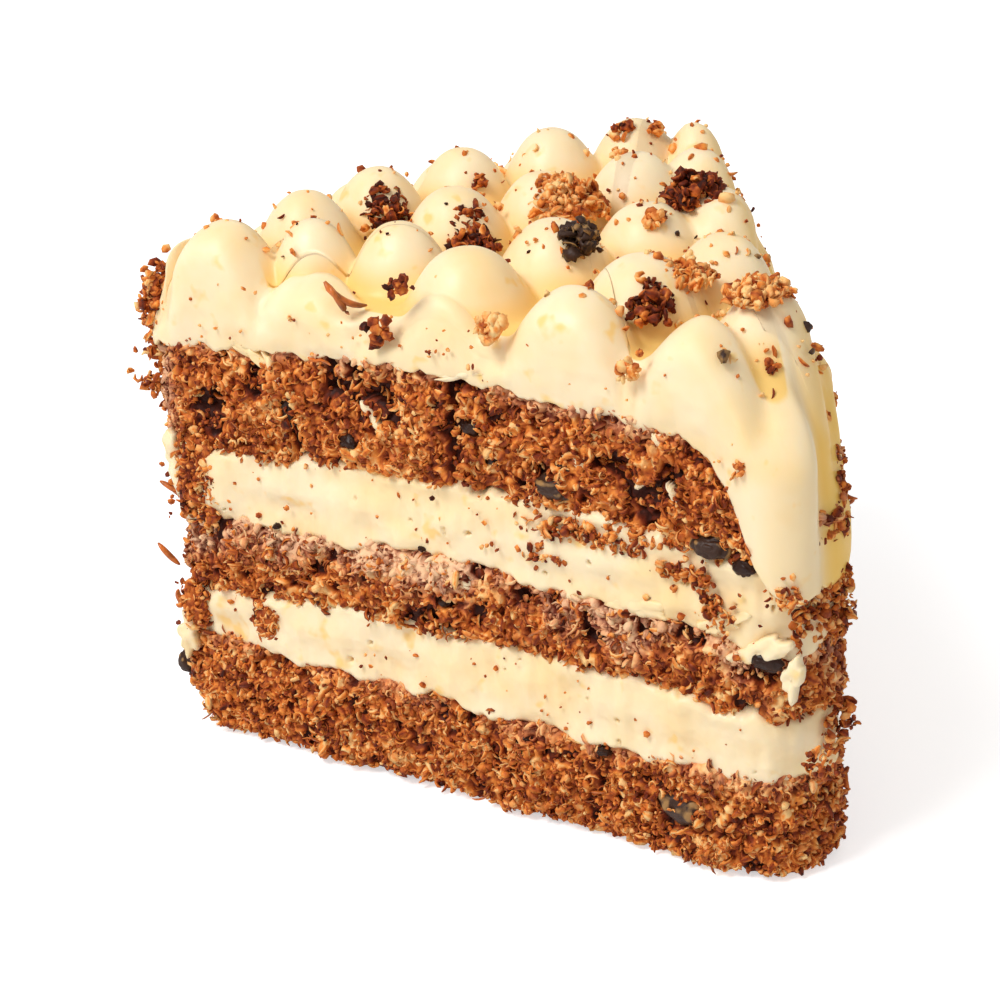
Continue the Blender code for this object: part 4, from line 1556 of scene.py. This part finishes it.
def make_floor():
    """A wide pale floor that shows white to the camera and keeps the slice's shadow."""
    mesh = bpy.data.meshes.new("floor")
    signs = ((-1, -1), (1, -1), (1, 1), (-1, 1))
    corners = [(x * FLOOR_HALF, y * FLOOR_HALF, FLOOR_HEIGHT) for x, y in signs]
    mesh.from_pydata(corners, [], [(0, 1, 2, 3)])
    n = Nodes("floor")
    n.shader.inputs["Base Color"].default_value = (0.82, 0.82, 0.82, 1)
    n.shader.inputs["Roughness"].default_value = 0.9
    path = n.add("ShaderNodeLightPath")
    seen = n.maths("MAXIMUM", path.outputs["Is Camera Ray"], path.outputs["Is Glossy Ray"])
    seen = n.maths("MAXIMUM", seen, path.outputs["Is Transmission Ray"])
    n.link(n.maths("MULTIPLY", seen, FLOOR_GLOW), n.shader.inputs["Emission Strength"])
    n.shader.inputs["Emission Color"].default_value = (1, 1, 1, 1)
    mesh.materials.append(n.material)
    floor = bpy.data.objects.new("floor", mesh)
    bpy.context.scene.collection.objects.link(floor)


def add_lamp(name, place, target, size, power):
    """A square white area lamp that faces the target."""
    data = bpy.data.lights.new(name, "AREA")
    data.size = size
    data.energy = power
    lamp = bpy.data.objects.new(name, data)
    lamp.location = place
    aim = np.array(target) - np.array(place)
    lamp.rotation_euler = vector(aim).to_track_quat("-Z", "Y").to_euler()
    bpy.context.scene.collection.objects.link(lamp)


def vector(values):
    from mathutils import Vector

    return Vector([float(v) for v in values])


def make_light(scene):
    """A white world, which is brighter to the camera, and one large key lamp in front."""
    world = bpy.data.worlds.new("world")
    scene.world = world
    world.use_nodes = True
    tree = world.node_tree
    back = tree.nodes["Background"]
    back.inputs["Color"].default_value = (1, 1, 1, 1)
    path = tree.nodes.new("ShaderNodeLightPath")
    seen = tree.nodes.new("ShaderNodeMath")
    seen.operation = "MAXIMUM"
    tree.links.new(path.outputs["Is Camera Ray"], seen.inputs[0])
    tree.links.new(path.outputs["Is Transmission Ray"], seen.inputs[1])
    strength = tree.nodes.new("ShaderNodeMapRange")
    strength.inputs["To Min"].default_value = WORLD_LIGHT
    strength.inputs["To Max"].default_value = 1.0
    tree.links.new(seen.outputs[0], strength.inputs["Value"])
    tree.links.new(strength.outputs["Result"], back.inputs["Strength"])
    add_lamp("key", KEY_PLACE, KEY_TARGET, KEY_SIZE, KEY_POWER)


def make_camera(scene, shape):
    """The camera stands back from its target along the view's azimuth and elevation."""
    data = bpy.data.cameras.new("camera")
    data.lens = VIEW_LENS
    data.sensor_width = 36.0
    data.clip_start = 0.01
    camera = bpy.data.objects.new("camera", data)
    scene.collection.objects.link(camera)
    flat = math.cos(VIEW_ELEVATION)
    back = (math.sin(VIEW_AZIMUTH) * flat, -math.cos(VIEW_AZIMUTH) * flat, math.sin(VIEW_ELEVATION))
    back = np.array(back)
    target = np.array(VIEW_TARGET) + [shape.axis_x, 0, 0]
    camera.location = (target + back * VIEW_DISTANCE) * MM
    facing = vector(-back).to_track_quat("-Z", "Y")
    facing.rotate(rotation_about(-back, -VIEW_ROLL))
    camera.rotation_mode = "QUATERNION"
    camera.rotation_quaternion = facing
    scene.camera = camera


def rotation_about(axis, angle):
    from mathutils import Quaternion

    return Quaternion(vector(axis), angle)


CLASSES = (
    CakeSizes,
    CakeColours,
    CAKE_OT_sponge,
    CAKE_OT_fillings,
    CAKE_OT_cream_top,
    CAKE_OT_toppings,
    CAKE_OT_nuts,
    CAKE_OT_stage,
)


class CAKE_PT_panel(bpy.types.Panel):
    bl_label = "Carrot cake slice"
    bl_idname = "CAKE_PT_panel"
    bl_space_type = "VIEW_3D"
    bl_region_type = "UI"
    bl_category = "Cake"

    def draw(self, context):
        for made in CLASSES:
            if issubclass(made, bpy.types.Operator):
                self.layout.operator(made.bl_idname)


def register():
    for made in (*CLASSES, CAKE_PT_panel):
        bpy.utils.register_class(made)
    bpy.types.Scene.cake_sizes = bpy.props.PointerProperty(type=CakeSizes)
    bpy.types.Scene.cake_colours = bpy.props.PointerProperty(type=CakeColours)


def unregister():
    del bpy.types.Scene.cake_sizes
    del bpy.types.Scene.cake_colours
    for made in reversed((*CLASSES, CAKE_PT_panel)):
        bpy.utils.unregister_class(made)


if __name__ == "__main__":
    main()
